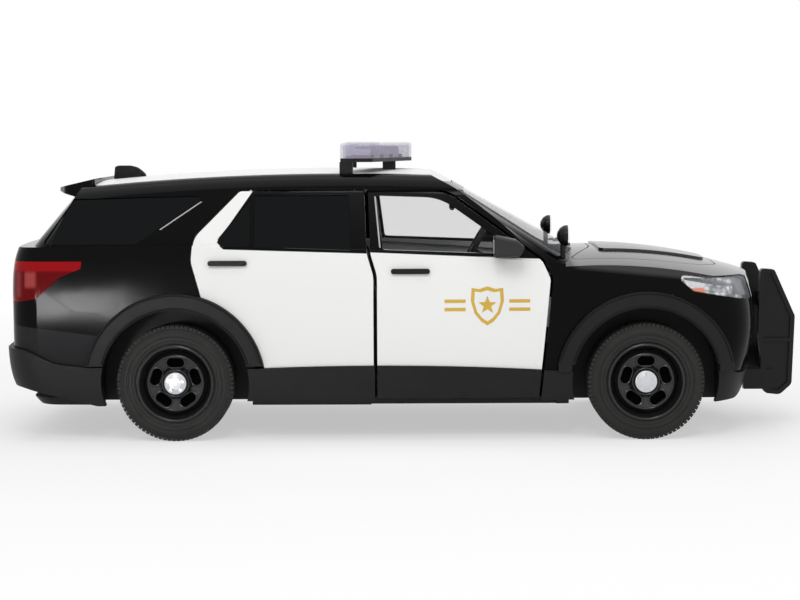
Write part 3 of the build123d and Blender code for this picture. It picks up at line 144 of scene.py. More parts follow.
class PatrolStage(bpy.types.PropertyGroup):
    """Place and angles of the camera."""

    distance: bpy.props.FloatProperty(
        name="Camera distance", description="From the centre line", unit="LENGTH", default=570 * MM
    )
    height: bpy.props.FloatProperty(
        name="Camera height", description="Above the floor", unit="LENGTH", default=83.1 * MM
    )
    lens: bpy.props.FloatProperty(name="Lens", description="Focal length", unit="CAMERA", default=89.9)
    pitch: bpy.props.FloatProperty(
        name="Pitch", description="How far the camera looks down", subtype="ANGLE",
        default=math.radians(4.88),
    )
    roll: bpy.props.FloatProperty(
        name="Roll", description="Turn about the view axis", subtype="ANGLE", default=math.radians(-0.24)
    )


def paint():
    return bpy.context.scene.patrol_paint


def sizes():
    return bpy.context.scene.patrol_sizes


def stage_sizes():
    return bpy.context.scene.patrol_stage


# Materials


def main_shader(material):
    """A material's node tree and main shader."""
    tree = material.node_tree
    return tree, tree.nodes["Principled BSDF"]


def shader(name, values):
    """A new material, its node tree and its main shader with these plain values."""
    material = bpy.data.materials.new(name)
    material.use_nodes = True
    tree, surface = main_shader(material)
    for label, value in values.items():
        surface.inputs[label].default_value = value
    return material, tree, surface


def put(tree, value, socket):
    """Link another socket's value to a socket, or set a plain value there."""
    if isinstance(value, bpy.types.NodeSocket):
        tree.links.new(value, socket)
    else:
        socket.default_value = value


def add_node(tree, kind, values, **settings):
    """A new node with its settings, and its inputs linked or set."""
    node = tree.nodes.new(kind)
    for name, setting in settings.items():
        setattr(node, name, setting)
    for label, value in values.items():
        put(tree, value, node.inputs[label])
    return node


def coordinates(tree):
    return tree.nodes.new("ShaderNodeTexCoord").outputs["Object"]


def noise_on(tree, scale, detail=2.0):
    """A noise on Object coordinates."""
    values = {"Vector": coordinates(tree), "Scale": scale, "Detail": detail}
    return add_node(tree, "ShaderNodeTexNoise", values).outputs["Fac"]


def bumped(tree, surface, height, strength, distance):
    """A bump of the surface from a height value; the distance is in millimetres."""
    values = {"Height": height, "Strength": strength, "Distance": distance * MM}
    put(tree, add_node(tree, "ShaderNodeBump", values).outputs["Normal"], surface.inputs["Normal"])


def ribbed(tree, surface, scale, strength, distance):
    """Upright ribs across a lens or a reflector."""
    values = {"Vector": coordinates(tree), "Scale": scale}
    ribs = add_node(tree, "ShaderNodeTexWave", values, bands_direction="X")
    bumped(tree, surface, ribs.outputs["Fac"], strength, distance)


def spread(tree, value, low, high, start=0.0, end=1.0):
    """A value mapped from start..end to low..high."""
    values = {"Value": value, "From Min": start, "From Max": end, "To Min": low, "To Max": high}
    return add_node(tree, "ShaderNodeMapRange", values).outputs["Result"]


def combined(tree, operation, first, second):
    """Two values, sockets or plain numbers, through one operation."""
    return add_node(tree, "ShaderNodeMath", {0: first, 1: second}, operation=operation).outputs[0]


def beyond(tree, point, normal, soft=0.06):
    """1 on the side of a plane that the normal points to, 0 on the other, in millimetres."""
    direction = Vector(normal).normalized()
    values = {0: coordinates(tree), 1: direction}
    along = add_node(tree, "ShaderNodeVectorMath", values, operation="DOT_PRODUCT")
    edge = direction.dot(Vector(point)) * MM
    return spread(tree, along.outputs["Value"], 0.0, 1.0, edge - soft * MM, edge + soft * MM)


def within(tree, *planes):
    """1 where all the planes (point, normal, softness) agree."""
    share = beyond(tree, *planes[0])
    for plane in planes[1:]:
        share = combined(tree, "MULTIPLY", share, beyond(tree, *plane))
    return share


def toned(colour, level):
    """A colour made darker or lighter."""
    return [channel * level for channel in colour[:3]] + [1.0]


def blend_colours(tree, share, first, second):
    """A colour that goes from first to second with a share."""
    # the colours' sockets go by number, because the node's other kinds have the same names
    values = {"Factor": share, 6: first, 7: second}
    return add_node(tree, "ShaderNodeMix", values, data_type="RGBA").outputs[2]


def paint_material(name, colour, gloss, roughness=(0.1, 0.16)):
    """Die-cast enamel: even, with a faint orange peel."""
    material, tree, surface = shader(name, {"Base Color": colour, "Specular IOR Level": gloss})
    bumped(tree, surface, noise_on(tree, scale=700.0), strength=0.03, distance=0.05)
    patches = noise_on(tree, scale=60.0)
    put(tree, spread(tree, patches, *roughness), surface.inputs["Roughness"])
    return material


def plastic_material(name, colour, roughness, bump=0.3, drift=0.25, gloss=0.2):
    """Moulded plastic: grained, and a little uneven in tone."""
    material, tree, surface = shader(name, {"Specular IOR Level": gloss})
    patches = noise_on(tree, scale=220.0, detail=4.0)
    uneven = blend_colours(tree, patches, toned(colour, 1.0 - drift), toned(colour, 1.0 + drift))
    put(tree, uneven, surface.inputs["Base Color"])
    grain = noise_on(tree, scale=1500.0)
    bumped(tree, surface, grain, bump, distance=0.12)
    put(tree, spread(tree, grain, *roughness), surface.inputs["Roughness"])
    return material


def metal_material(name, colour, roughness, bump=0.05):
    """Bright metal or plating with fine marks."""
    material, tree, surface = shader(name, {"Base Color": colour, "Metallic": 1.0})
    fine = noise_on(tree, scale=2500.0)
    bumped(tree, surface, fine, bump, distance=0.1)
    put(tree, spread(tree, fine, *roughness), surface.inputs["Roughness"])
    return material


def glass_material(name, colour, alpha, gloss=0.5, roughness=(0.02, 0.06)):
    """Thin moulded window, part see-through."""
    values = {"Base Color": colour, "Alpha": alpha, "Specular IOR Level": gloss}
    material, tree, surface = shader(name, values)
    patches = noise_on(tree, scale=120.0)
    put(tree, spread(tree, patches, *roughness), surface.inputs["Roughness"])
    return material


def dress(material, *names):
    """Give CAD nodes a material."""
    for name in names:
        data = node_object(name).data
        data.materials.clear()
        data.materials.append(material)


# Meshes, drawn in millimetres


def new_object(name, source, material):
    """An object in the scene, of a drawn mesh with a material."""
    mesh = bpy.data.meshes.new(name)
    source.to_mesh(mesh)
    source.free()
    mesh.materials.append(material)
    made = bpy.data.objects.new(name, mesh)
    bpy.context.scene.collection.objects.link(made)
    return made


def place(name, source, material, body):
    """A finished piece at the origin that rides on a body."""
    bmesh.ops.remove_doubles(source, verts=source.verts, dist=MERGE)
    bmesh.ops.recalc_face_normals(source, faces=source.faces)
    bmesh.ops.scale(source, vec=(MM, MM, MM), verts=source.verts)
    piece = new_object(name, source, material)
    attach(piece, body)
    return piece


def bevel_edges(source, edges, offset):
    """Round edges off, and give the vertices that this makes."""
    made = bmesh.ops.bevel(source, geom=edges, offset=offset, segments=2, affect="EDGES", profile=0.5)
    return made["verts"]


def add_box(source, centre, size, bevel, turn=0.0):
    """A box with bevelled edges, turned about the upright through its centre."""
    corners = bmesh.ops.create_cube(source, size=1.0)["verts"]
    bmesh.ops.scale(source, vec=size, verts=corners)
    made = bevel_edges(source, list({edge for vert in corners for edge in vert.link_edges}), bevel)
    matrix = Matrix.Translation(centre) @ Matrix.Rotation(turn, 4, "Z")
    bmesh.ops.transform(source, matrix=matrix, verts=made)


def add_turned(source, rows, centre, segments):
    """A closed section of rows (along Y, radius), turned about the line along Y through a centre."""
    rings = []
    for step in range(segments):
        angle = 2 * math.pi * step / segments
        out, up = math.cos(angle), math.sin(angle)
        rings.append([
            source.verts.new(Vector(centre) + Vector((out * radius, along, up * radius)))
            for along, radius in rows
        ])
    count = len(rows)
    for here, there in zip(rings, rings[1:] + rings[:1]):
        for row in range(count):
            after = (row + 1) % count
            if rows[row][1] or rows[after][1]:
                source.faces.new((here[row], here[after], there[after], there[row]))


def add_tube(source, path, radius, up, closed=False, segments=8):
    """A round tube along a path, closed on itself or capped; up is never along the path."""
    rings = []
    count = len(path)
    angles = [2 * math.pi * turn / segments for turn in range(segments)]
    for step, point in enumerate(path):
        before = path[step - 1] if closed or step else point
        after = path[(step + 1) % count] if closed or step + 1 < count else point
        along = (after - before).normalized()
        across = along.cross(up).normalized()
        rise = across.cross(along)
        rings.append([
            source.verts.new(point + across * radius * math.cos(angle) + rise * radius * math.sin(angle))
            for angle in angles
        ])
    for step in range(count if closed else count - 1):
        here, there = rings[step], rings[(step + 1) % count]
        for turn in range(segments):
            after = (turn + 1) % segments
            source.faces.new((here[turn], here[after], there[after], there[turn]))
    if not closed:
        source.faces.new(rings[0])
        source.faces.new(rings[-1])


def add_mesh(source, mesh, matrix):
    """A ready mesh, moved by a matrix."""
    first = len(source.verts)
    source.from_mesh(mesh)
    source.verts.ensure_lookup_table()
    bmesh.ops.transform(source, matrix=matrix, verts=source.verts[first:])


def surface_of(name):
    """A CAD node's surface, for finding points on it."""
    data = node_object(name).data
    points = [vert.co for vert in data.vertices]
    return BVHTree.FromPolygons(points, [face.vertices for face in data.polygons])


def add_print(source, surface, outline, start, ray, lift, thick):
    """A thin closed patch: an outline (level, upright) about a start point, cast onto a surface."""
    patch = bmesh.new()
    patch.faces.new([patch.verts.new((u, v, 0.0)) for u, v in outline])
    bmesh.ops.triangulate(patch, faces=patch.faces)
    for _ in range(PRINT_CUTS):
        bmesh.ops.subdivide_edges(patch, edges=patch.edges, cuts=1, use_grid_fill=True)
        bmesh.ops.triangulate(patch, faces=patch.faces)
    level = ACROSS if ray == AHEAD else AHEAD
    for vert in patch.verts:
        point = start + level * vert.co.x + UP * vert.co.y
        hit = surface.ray_cast(point * MM, ray)[0]
        if hit is None:
            raise RuntimeError(f"no surface under a print at {tuple(point)}")
        vert.co = hit / MM - ray * lift
    bmesh.ops.recalc_face_normals(patch, faces=patch.faces)
    flat = patch.faces[:]
    if sum((face.normal * face.calc_area() for face in flat), Vector()).dot(ray) > 0:
        bmesh.ops.reverse_faces(patch, faces=flat)
    bmesh.ops.solidify(patch, geom=flat, thickness=thick)
    mesh = bpy.data.meshes.new("patch")
    patch.to_mesh(mesh)
    patch.free()
    add_mesh(source, mesh, Matrix())
    bpy.data.meshes.remove(mesh)


def add_side_print(source, surface, outline, side, lift, thick, centre=(0.0, 0.0)):
    """A print cast straight in from one side of the car."""
    start = Vector((centre[0], side * OUTSIDE, centre[1]))
    add_print(source, surface, outline, start, ACROSS * -side, lift, thick)


# Geometry node trees


def new_tree(name, inputs):
    """A geometry tree with named inputs and their kinds."""
    tree = bpy.data.node_groups.new(name, "GeometryNodeTree")
    for label, kind in inputs.items():
        tree.interface.new_socket(label, in_out="INPUT", socket_type=f"NodeSocket{kind}")
    tree.interface.new_socket("Geometry", in_out="OUTPUT", socket_type="NodeSocketGeometry")
    return tree, tree.nodes.new("NodeGroupInput").outputs


def end_tree(tree, points, size, material, turn=None):
    """Put a block on each point, realize the blocks, set their material and close the tree."""
    block = add_node(tree, "GeometryNodeMeshCube", {"Size": size}).outputs["Mesh"]
    values = {"Points": points, "Instance": block}
    if turn is not None:
        values["Rotation"] = turn
    copies = add_node(tree, "GeometryNodeInstanceOnPoints", values).outputs["Instances"]
    real = add_node(tree, "GeometryNodeRealizeInstances", {"Geometry": copies}).outputs["Geometry"]
    coat = add_node(tree, "GeometryNodeSetMaterial", {"Geometry": real, "Material": material})
    add_node(tree, "NodeGroupOutput", {"Geometry": coat.outputs["Geometry"]})


def ring_tree():
    """Blocks round a circle about Z: Height is radial, Length runs round and Width lies along Z."""
    tree, given = new_tree("block ring", {
        "Count": "Int", "Radius": "Float", "Height": "Float", "Length": "Float", "Width": "Float",
        "Material": "Material",
    })
    ring = {"Vertices": given["Count"], "Radius": given["Radius"]}
    points = add_node(tree, "GeometryNodeMeshCircle", ring).outputs["Mesh"]
    sides = {"X": given["Height"], "Y": given["Length"], "Z": given["Width"]}
    size = add_node(tree, "ShaderNodeCombineXYZ", sides).outputs["Vector"]
    step = combined(tree, "DIVIDE", 2 * math.pi, given["Count"])
    index = tree.nodes.new("GeometryNodeInputIndex").outputs["Index"]
    angle = combined(tree, "MULTIPLY", index, step)
    euler = add_node(tree, "ShaderNodeCombineXYZ", {"Z": angle}).outputs["Vector"]
    turn = add_node(tree, "FunctionNodeEulerToRotation", {"Euler": euler}).outputs["Rotation"]
    end_tree(tree, points, size, given["Material"], turn)
    return tree


def row_tree():
    """Blocks in a straight row."""
    tree, given = new_tree("block row", {
        "Count": "Int", "Start": "Vector", "Step": "Vector", "Size": "Vector", "Material": "Material",
    })
    row = {"Count": given["Count"], "Start Location": given["Start"], "Offset": given["Step"]}
    points = add_node(tree, "GeometryNodeMeshLine", row).outputs["Mesh"]
    end_tree(tree, points, given["Size"], given["Material"])
    return tree


def node_mesh(tree, values):
    """The plain mesh that a tree makes with these input values."""
    holder = bpy.data.objects.new(tree.name, bpy.data.meshes.new(tree.name))
    bpy.context.scene.collection.objects.link(holder)
    modifier = holder.modifiers.new(tree.name, "NODES")
    modifier.node_group = tree
    for item in tree.interface.items_tree:
        if item.in_out == "INPUT":
            modifier[item.identifier] = values[item.name]
    graph = bpy.context.evaluated_depsgraph_get()
    mesh = bpy.data.meshes.new_from_object(holder.evaluated_get(graph), depsgraph=graph)
    bpy.data.objects.remove(holder)
    return mesh


class PATROL_OT_stage(bpy.types.Operator):
    """Pale floor, soft lamps and a camera at the photo's angle"""

    bl_idname = "patrol.stage"
    bl_label = "Stage"

    # strength of the world's light on the car, and of the world where it is seen directly
    WORLD = (0.34, 1.0)
    FLOOR_COLOUR = (0.88, 0.88, 0.88, 1.0)
    FLOOR_SIZE = 6.0
    # share of plain white in the floor near the car and far from it, and the metres between
    FLOOR_GLOW = (0.5, 1.0)
    FLOOR_FADE = (0.14, 0.42)
    # name, place, aim, size, power, shows in mirrors, lights matt surfaces
    LAMPS = (
        ("overhead", (0.0, 0.0, 0.85), (0.0, 0.0, 0.04), 0.8, 3.0, True, True),
        ("key", (-0.35, -0.75, 0.65), (0.0, 0.0, 0.03), 0.5, 2.5, False, True),
        ("fill", (0.55, -0.6, 0.35), (0.05, 0.0, 0.03), 0.4, 1.25, False, True),
        ("back", (0.1, 0.8, 0.5), (0.0, 0.0, 0.04), 0.6, 1.6, False, True),
        ("card", (-0.205, -0.5, 0.022), (-0.093, -0.04, 0.038), 0.075, 0.024, True, False),
        ("strip", (0.0, -0.6, 0.55), (0.0, 0.0, 0.03), 0.16, 0.85, True, True),
    )
    CARD_SPREAD = math.radians(30.0)
    SENSOR_W = 36.0
    CLIP_START = 0.01
    # how far the camera stands behind the middle of the wheelbase
    CAMERA_BACK = 2.8 * MM

    def execute(self, context):
        scene = context.scene
        scene.view_settings.view_transform = "Standard"
        self.build_world(scene)
        self.build_floor()
        self.build_lamps(scene)
        self.build_camera(scene)
        return {"FINISHED"}

    def seen_directly(self, tree):
        """1 for rays from the camera, in mirrors and through glass."""
        path = tree.nodes.new("ShaderNodeLightPath").outputs
        mirrored = combined(tree, "MAXIMUM", path["Is Camera Ray"], path["Is Glossy Ray"])
        return combined(tree, "MAXIMUM", mirrored, path["Is Transmission Ray"])

    def build_world(self, scene):
        world = bpy.data.worlds.new("studio")
        world.use_nodes = True
        tree = world.node_tree
        surface = tree.nodes["Background"]
        strength = spread(tree, self.seen_directly(tree), *self.WORLD)
        put(tree, strength, surface.inputs["Strength"])
        surface.inputs["Color"].default_value = (1.0, 1.0, 1.0, 1.0)
        scene.world = world

    def build_floor(self):
        """A pale floor that keeps the car's shadow and fades to plain white."""
        values = {"Base Color": self.FLOOR_COLOUR, "Roughness": 0.8, "Specular IOR Level": 0.1}
        material, tree, surface = shader("floor", values)
        values = {0: coordinates(tree)}
        far = add_node(tree, "ShaderNodeVectorMath", values, operation="LENGTH").outputs["Value"]
        share = spread(tree, far, *self.FLOOR_GLOW, *self.FLOOR_FADE)
        glow = tree.nodes.new("ShaderNodeEmission").outputs["Emission"]
        share = combined(tree, "MULTIPLY", self.seen_directly(tree), share)
        mix = add_node(tree, "ShaderNodeMixShader", {"Fac": share, 1: surface.outputs["BSDF"], 2: glow})
        put(tree, mix.outputs["Shader"], tree.nodes["Material Output"].inputs["Surface"])
        source = bmesh.new()
        bmesh.ops.create_grid(source, x_segments=1, y_segments=1, size=self.FLOOR_SIZE)
        floor = new_object("floor", source, material)

    def build_lamps(self, scene):
        for name, at, aim, size, power, mirrored, matt in self.LAMPS:
            data = bpy.data.lights.new(name, "AREA")
            data.energy = power
            data.size = size
            data.spread = math.pi if matt else self.CARD_SPREAD
            lamp = bpy.data.objects.new(name, data)
            lamp.location = at
            lamp.rotation_euler = (Vector(aim) - Vector(at)).to_track_quat("-Z", "Y").to_euler()
            lamp.visible_camera = False
            lamp.visible_glossy = mirrored
            lamp.visible_diffuse = matt
            scene.collection.objects.link(lamp)

    def build_camera(self, scene):
        given = stage_sizes()
        data = bpy.data.cameras.new("camera")
        data.lens = given.lens
        data.sensor_width = self.SENSOR_W
        data.clip_start = self.CLIP_START
        camera = bpy.data.objects.new("camera", data)
        down = Matrix.Rotation(math.pi / 2 - given.pitch, 4, "X")
        look = down @ Matrix.Rotation(given.roll, 4, "Z")
        mid_x = (AXLES["front"].x + AXLES["rear"].x) / 2 * MM
        at = (mid_x - self.CAMERA_BACK, -given.distance, given.height)
        camera.matrix_world = Matrix.Translation(at) @ look
        scene.collection.objects.link(camera)
        scene.camera = camera


class PATROL_OT_paint(bpy.types.Operator):
    """Black body, white roof and two-tone doors"""

    bl_idname = "patrol.paint"
    bl_label = "Paint"

    BLACK_GLOSS = 0.065
    HOOD_GLOSS = 0.62
    HOOD_ROUGH = (0.12, 0.2)
    WHITE_GLOSS = 0.35
    ROOF_GLOSS = 0.03
    ROOF_ROUGH = (0.3, 0.4)
    # grey painted above the rear bumper, in place of a softbox's reflection on the black paint
    REFLECTION_GREY = (0.02, 0.02, 0.0215, 1.0)

    def execute(self, context):
        black, white = paint().black, paint().white
        dress(self.body_material(), "body_shell")
        lacquer = paint_material("black lacquer", black, self.BLACK_GLOSS)
        dress(lacquer, "tailgate", "spoiler", "antenna_fin")
        dress(paint_material("hood enamel", black, self.HOOD_GLOSS, self.HOOD_ROUGH), "hood")
        dress(paint_material("white enamel", white, self.ROOF_GLOSS, self.ROOF_ROUGH), "roof_panel")
        # black window frames: above the front window's foot, and on the rear door above its window's
        # sill and ahead of the corner behind it
        low = box_mm("front_door_glass_right")[0]
        belt = ((low.x, 0.0, low.z + 0.55), (0.045, 0.0, 1.0))
        dress(self.door_material("front door enamel", belt), "front_door_right", "front_door_left")
        low, high = box_mm("rear_door_glasses")
        sill = ((high.x, 0.0, low.z - 0.6), (0.032, 0.0, 1.0))
        corner = (low.x - 0.3, 0.0, low.z + 2.2)
        planes = (sill, (corner, (1.0, 0.0, -0.7)), (corner, (0.66, 0.0, 0.75)))
        dress(self.door_material("rear door enamel", *planes), "rear_door_right", "rear_door_left")
        return {"FINISHED"}

    def door_material(self, name, *planes):
        """White enamel with a black window frame, where all the planes agree."""
        material = paint_material(name, paint().white, self.WHITE_GLOSS)
        tree, surface = main_shader(material)
        frame_share = within(tree, *planes)
        colour = blend_colours(tree, frame_share, paint().white, paint().black)
        put(tree, colour, surface.inputs["Base Color"])
        gloss = spread(tree, frame_share, self.WHITE_GLOSS, self.BLACK_GLOSS)
        put(tree, gloss, surface.inputs["Specular IOR Level"])
        return material

    def body_material(self):
        """Black enamel, glossier on the fenders' tops, with a painted reflection: a grey panel above the
        rear bumper.
        """
        material = paint_material("black enamel", paint().black, self.BLACK_GLOSS)
        tree, surface = main_shader(material)
        low = box_mm("hood")[0]
        top = within(
            tree, ((low.x, 0, 0), (1, 0, 0), 1.0), ((low.x, 0, low.z + 2.2), (0.1, 0, 1), 0.6),
        )
        gloss = spread(tree, top, self.BLACK_GLOSS, self.HOOD_GLOSS)
        put(tree, gloss, surface.inputs["Specular IOR Level"])
        # painted reflection: the black paint turns grey above the rear bumper, where it would mirror a
        # softbox
        high = box_mm("rear_bumper")[1]
        panel = within(
            tree, ((high.x - 3.7, 0, high.z + 3.5), (-0.125, 0, -1.0)), ((high.x + 5.0, 0, 0), (-1, 0, 0)),
        )
        colour = blend_colours(tree, panel, paint().black, self.REFLECTION_GREY)
        put(tree, colour, surface.inputs["Base Color"])
        return material


class PATROL_OT_glass(bpy.types.Operator):
    """Clear front windows, dark rear ones and the lamp lenses"""

    bl_idname = "patrol.glass"
    bl_label = "Glass"

    # tail lamps: shares of the height that the bright bar takes at the top and the bright foot below
    BAR_SHARE = 0.24
    FOOT_SHARE = 0.12
    BRIGHT = 2.4
    # rear and front ends from the lens's rearmost point, lower and upper as shares of the height, colour
    CHAMBERS = (
        (4.8, 7.8, 0.36, 0.74, (0.32, 0.05, 0.05, 1.0)),
        (2.3, 3.6, 0.12, 0.74, (0.22, 0.026, 0.03, 1.0)),
    )

    def execute(self, context):
        clear = glass_material("clear window", (0.03, 0.034, 0.04, 1.0), 0.09, 0.25)
        dress(clear, "front_door_glass_right", "front_door_glass_left")
        dress(glass_material("windscreen", (0.04, 0.05, 0.075, 1.0), 0.2, 0.06), "windscreen")
        dark = glass_material("dark window", paint().tint, 0.995, 0.11)
        dress(dark, "tailgate_glass", "quarter_glasses", "rear_door_glasses")
        lens = glass_material("lamp lens", (0.8, 0.84, 0.88, 1.0), 0.1, 0.3)
        dress(lens, "headlamp_lenses", "spotlight_lenses")
        dress(glass_material("light bar lens", (0.5, 0.47, 0.62, 1.0), 0.3), "light_bar_lens")
        dress(self.tail_material(), "tail_lamps")
        return {"FINISHED"}

    def tail_material(self):
        """Deep red lens with a bright top and foot, a pale chamber and a pale strip at the corner."""
        red = paint().red
        material = glass_material("red lens", red, 1.0, 0.07, (0.05, 0.1))
        tree, surface = main_shader(material)
        low, high = box_mm("tail_lamps")
        height = high.z - low.z
        bar = beyond(tree, (0, 0, high.z - self.BAR_SHARE * height), (0, 0, 1), 0.3)
        foot = beyond(tree, (low.x, 0, low.z + self.FOOT_SHARE * height), (-0.35, 0, -1), 0.3)
        colour = blend_colours(tree, bar, red, toned(red, self.BRIGHT))
        colour = blend_colours(tree, foot, colour, toned(red, self.BRIGHT))
        for start, end, under, over, tone in self.CHAMBERS:
            share = within(
                tree, ((low.x + start, 0, 0), (1, 0, 0), 0.3), ((low.x + end, 0, 0), (-1, 0, 0), 0.5),
                ((0, 0, low.z + under * height), (0, 0, 1), 0.5),
                ((0, 0, low.z + over * height), (0, 0, -1), 0.5),
            )
            colour = blend_colours(tree, share, colour, tone)
        put(tree, colour, surface.inputs["Base Color"])
        ribbed(tree, surface, scale=320.0, strength=0.15, distance=0.1)
        return material


class PATROL_OT_trim(bpy.types.Operator):
    """Grained arches, sills and bumpers, and the black plastic pieces"""

    bl_idname = "patrol.trim"
    bl_label = "Trim"

    # headlamp: grey of the lamps, dark between them, bezel, amber corner
    LAMP_TONES = (
        (0.74, 0.74, 0.76, 1.0), (0.08, 0.08, 0.09, 1.0), (0.2, 0.2, 0.215, 1.0), (0.8, 0.2, 0.05, 1.0),
    )
    SPARKLE_SCALE = 520.0

    def execute(self, context):
        matte = plastic_material("grained trim", paint().trim, (0.42, 0.55))
        dress(
            matte, "arch_trims", "sill_trims", "front_bumper", "rear_bumper", "front_door_trim_right",
            "front_door_trim_left", "chassis",
        )
        satin = plastic_material("satin black", (0.006, 0.006, 0.0065, 1.0), (0.28, 0.4), bump=0.1)
        dress(satin, *(f"{end}_handle_{side}" for end in AXLES for side in SIDE_NAMES.values()))
        dress(
            satin, "grille", "intake", "corner_vents", "light_bar_base", "push_bumper", "spotlights",
        )
        grey = plastic_material(
            "mirror grey", (0.018, 0.018, 0.019, 1.0), (0.3, 0.42), bump=0.12, gloss=0.3
        )
        dress(grey, "mirror_right", "mirror_left")
        steel = metal_material("steel", (0.55, 0.56, 0.58, 1.0), (0.3, 0.4))
        dress(steel, "hinge_pins", "front_axle", "rear_axle")
        bright = metal_material("bright plating", (0.62, 0.63, 0.65, 1.0), (0.26, 0.32), 0.008)
        dress(bright, "front_hub_caps", "rear_hub_caps")
        dress(self.headlamp_material(), "headlamp_buckets")
        lamp = plastic_material("lamp white", (0.6, 0.6, 0.62, 1.0), (0.3, 0.4), drift=0.05)
        dress(lamp, "light_bar_lamps")
        cabin = plastic_material("cabin plastic", (0.012, 0.012, 0.013, 1.0), (0.6, 0.75))
        dress(cabin, "cabin_tub", "front_seats", "rear_seat", "dashboard")
        return {"FINISHED"}

    def headlamp_material(self):
        """Plated bucket with a dark bezel forward and an amber corner below."""
        material = metal_material("headlamp plating", (0.78, 0.78, 0.8, 1.0), (0.14, 0.24))
        tree, surface = main_shader(material)
        low, high = box_mm("headlamp_buckets")
        values = {"Vector": coordinates(tree), "Scale": self.SPARKLE_SCALE}
        cells = add_node(tree, "ShaderNodeTexVoronoi", values)
        sparkle = spread(tree, cells.outputs["Distance"], 0.0, 1.0, 0.15, 0.75)
        lamps = within(
            tree, ((high.x - 11.5, 0, high.z), (1.0, 0, -0.4), 0.4),
            ((high.x - 3.4, 0, 0), (-1.0, 0, 0), 0.4),
        )
        front = beyond(tree, (high.x - 3.6, 0, 0), (1.0, 0, 0), 0.3)
        corner = within(
            tree, ((0, 0, low.z + 3.4), (0, 0, -1.0), 0.15), ((low.x + 6.6, 0, 0), (-1.0, 0, 0), 0.3),
        )
        grey, dark, bezel, amber = self.LAMP_TONES
        colour = blend_colours(tree, combined(tree, "MULTIPLY", sparkle, lamps), grey, dark)
        colour = blend_colours(tree, front, colour, bezel)
        colour = blend_colours(tree, corner, colour, amber)
        put(tree, colour, surface.inputs["Base Color"])
        ribbed(tree, surface, scale=260.0, strength=0.35, distance=0.25)
        return material


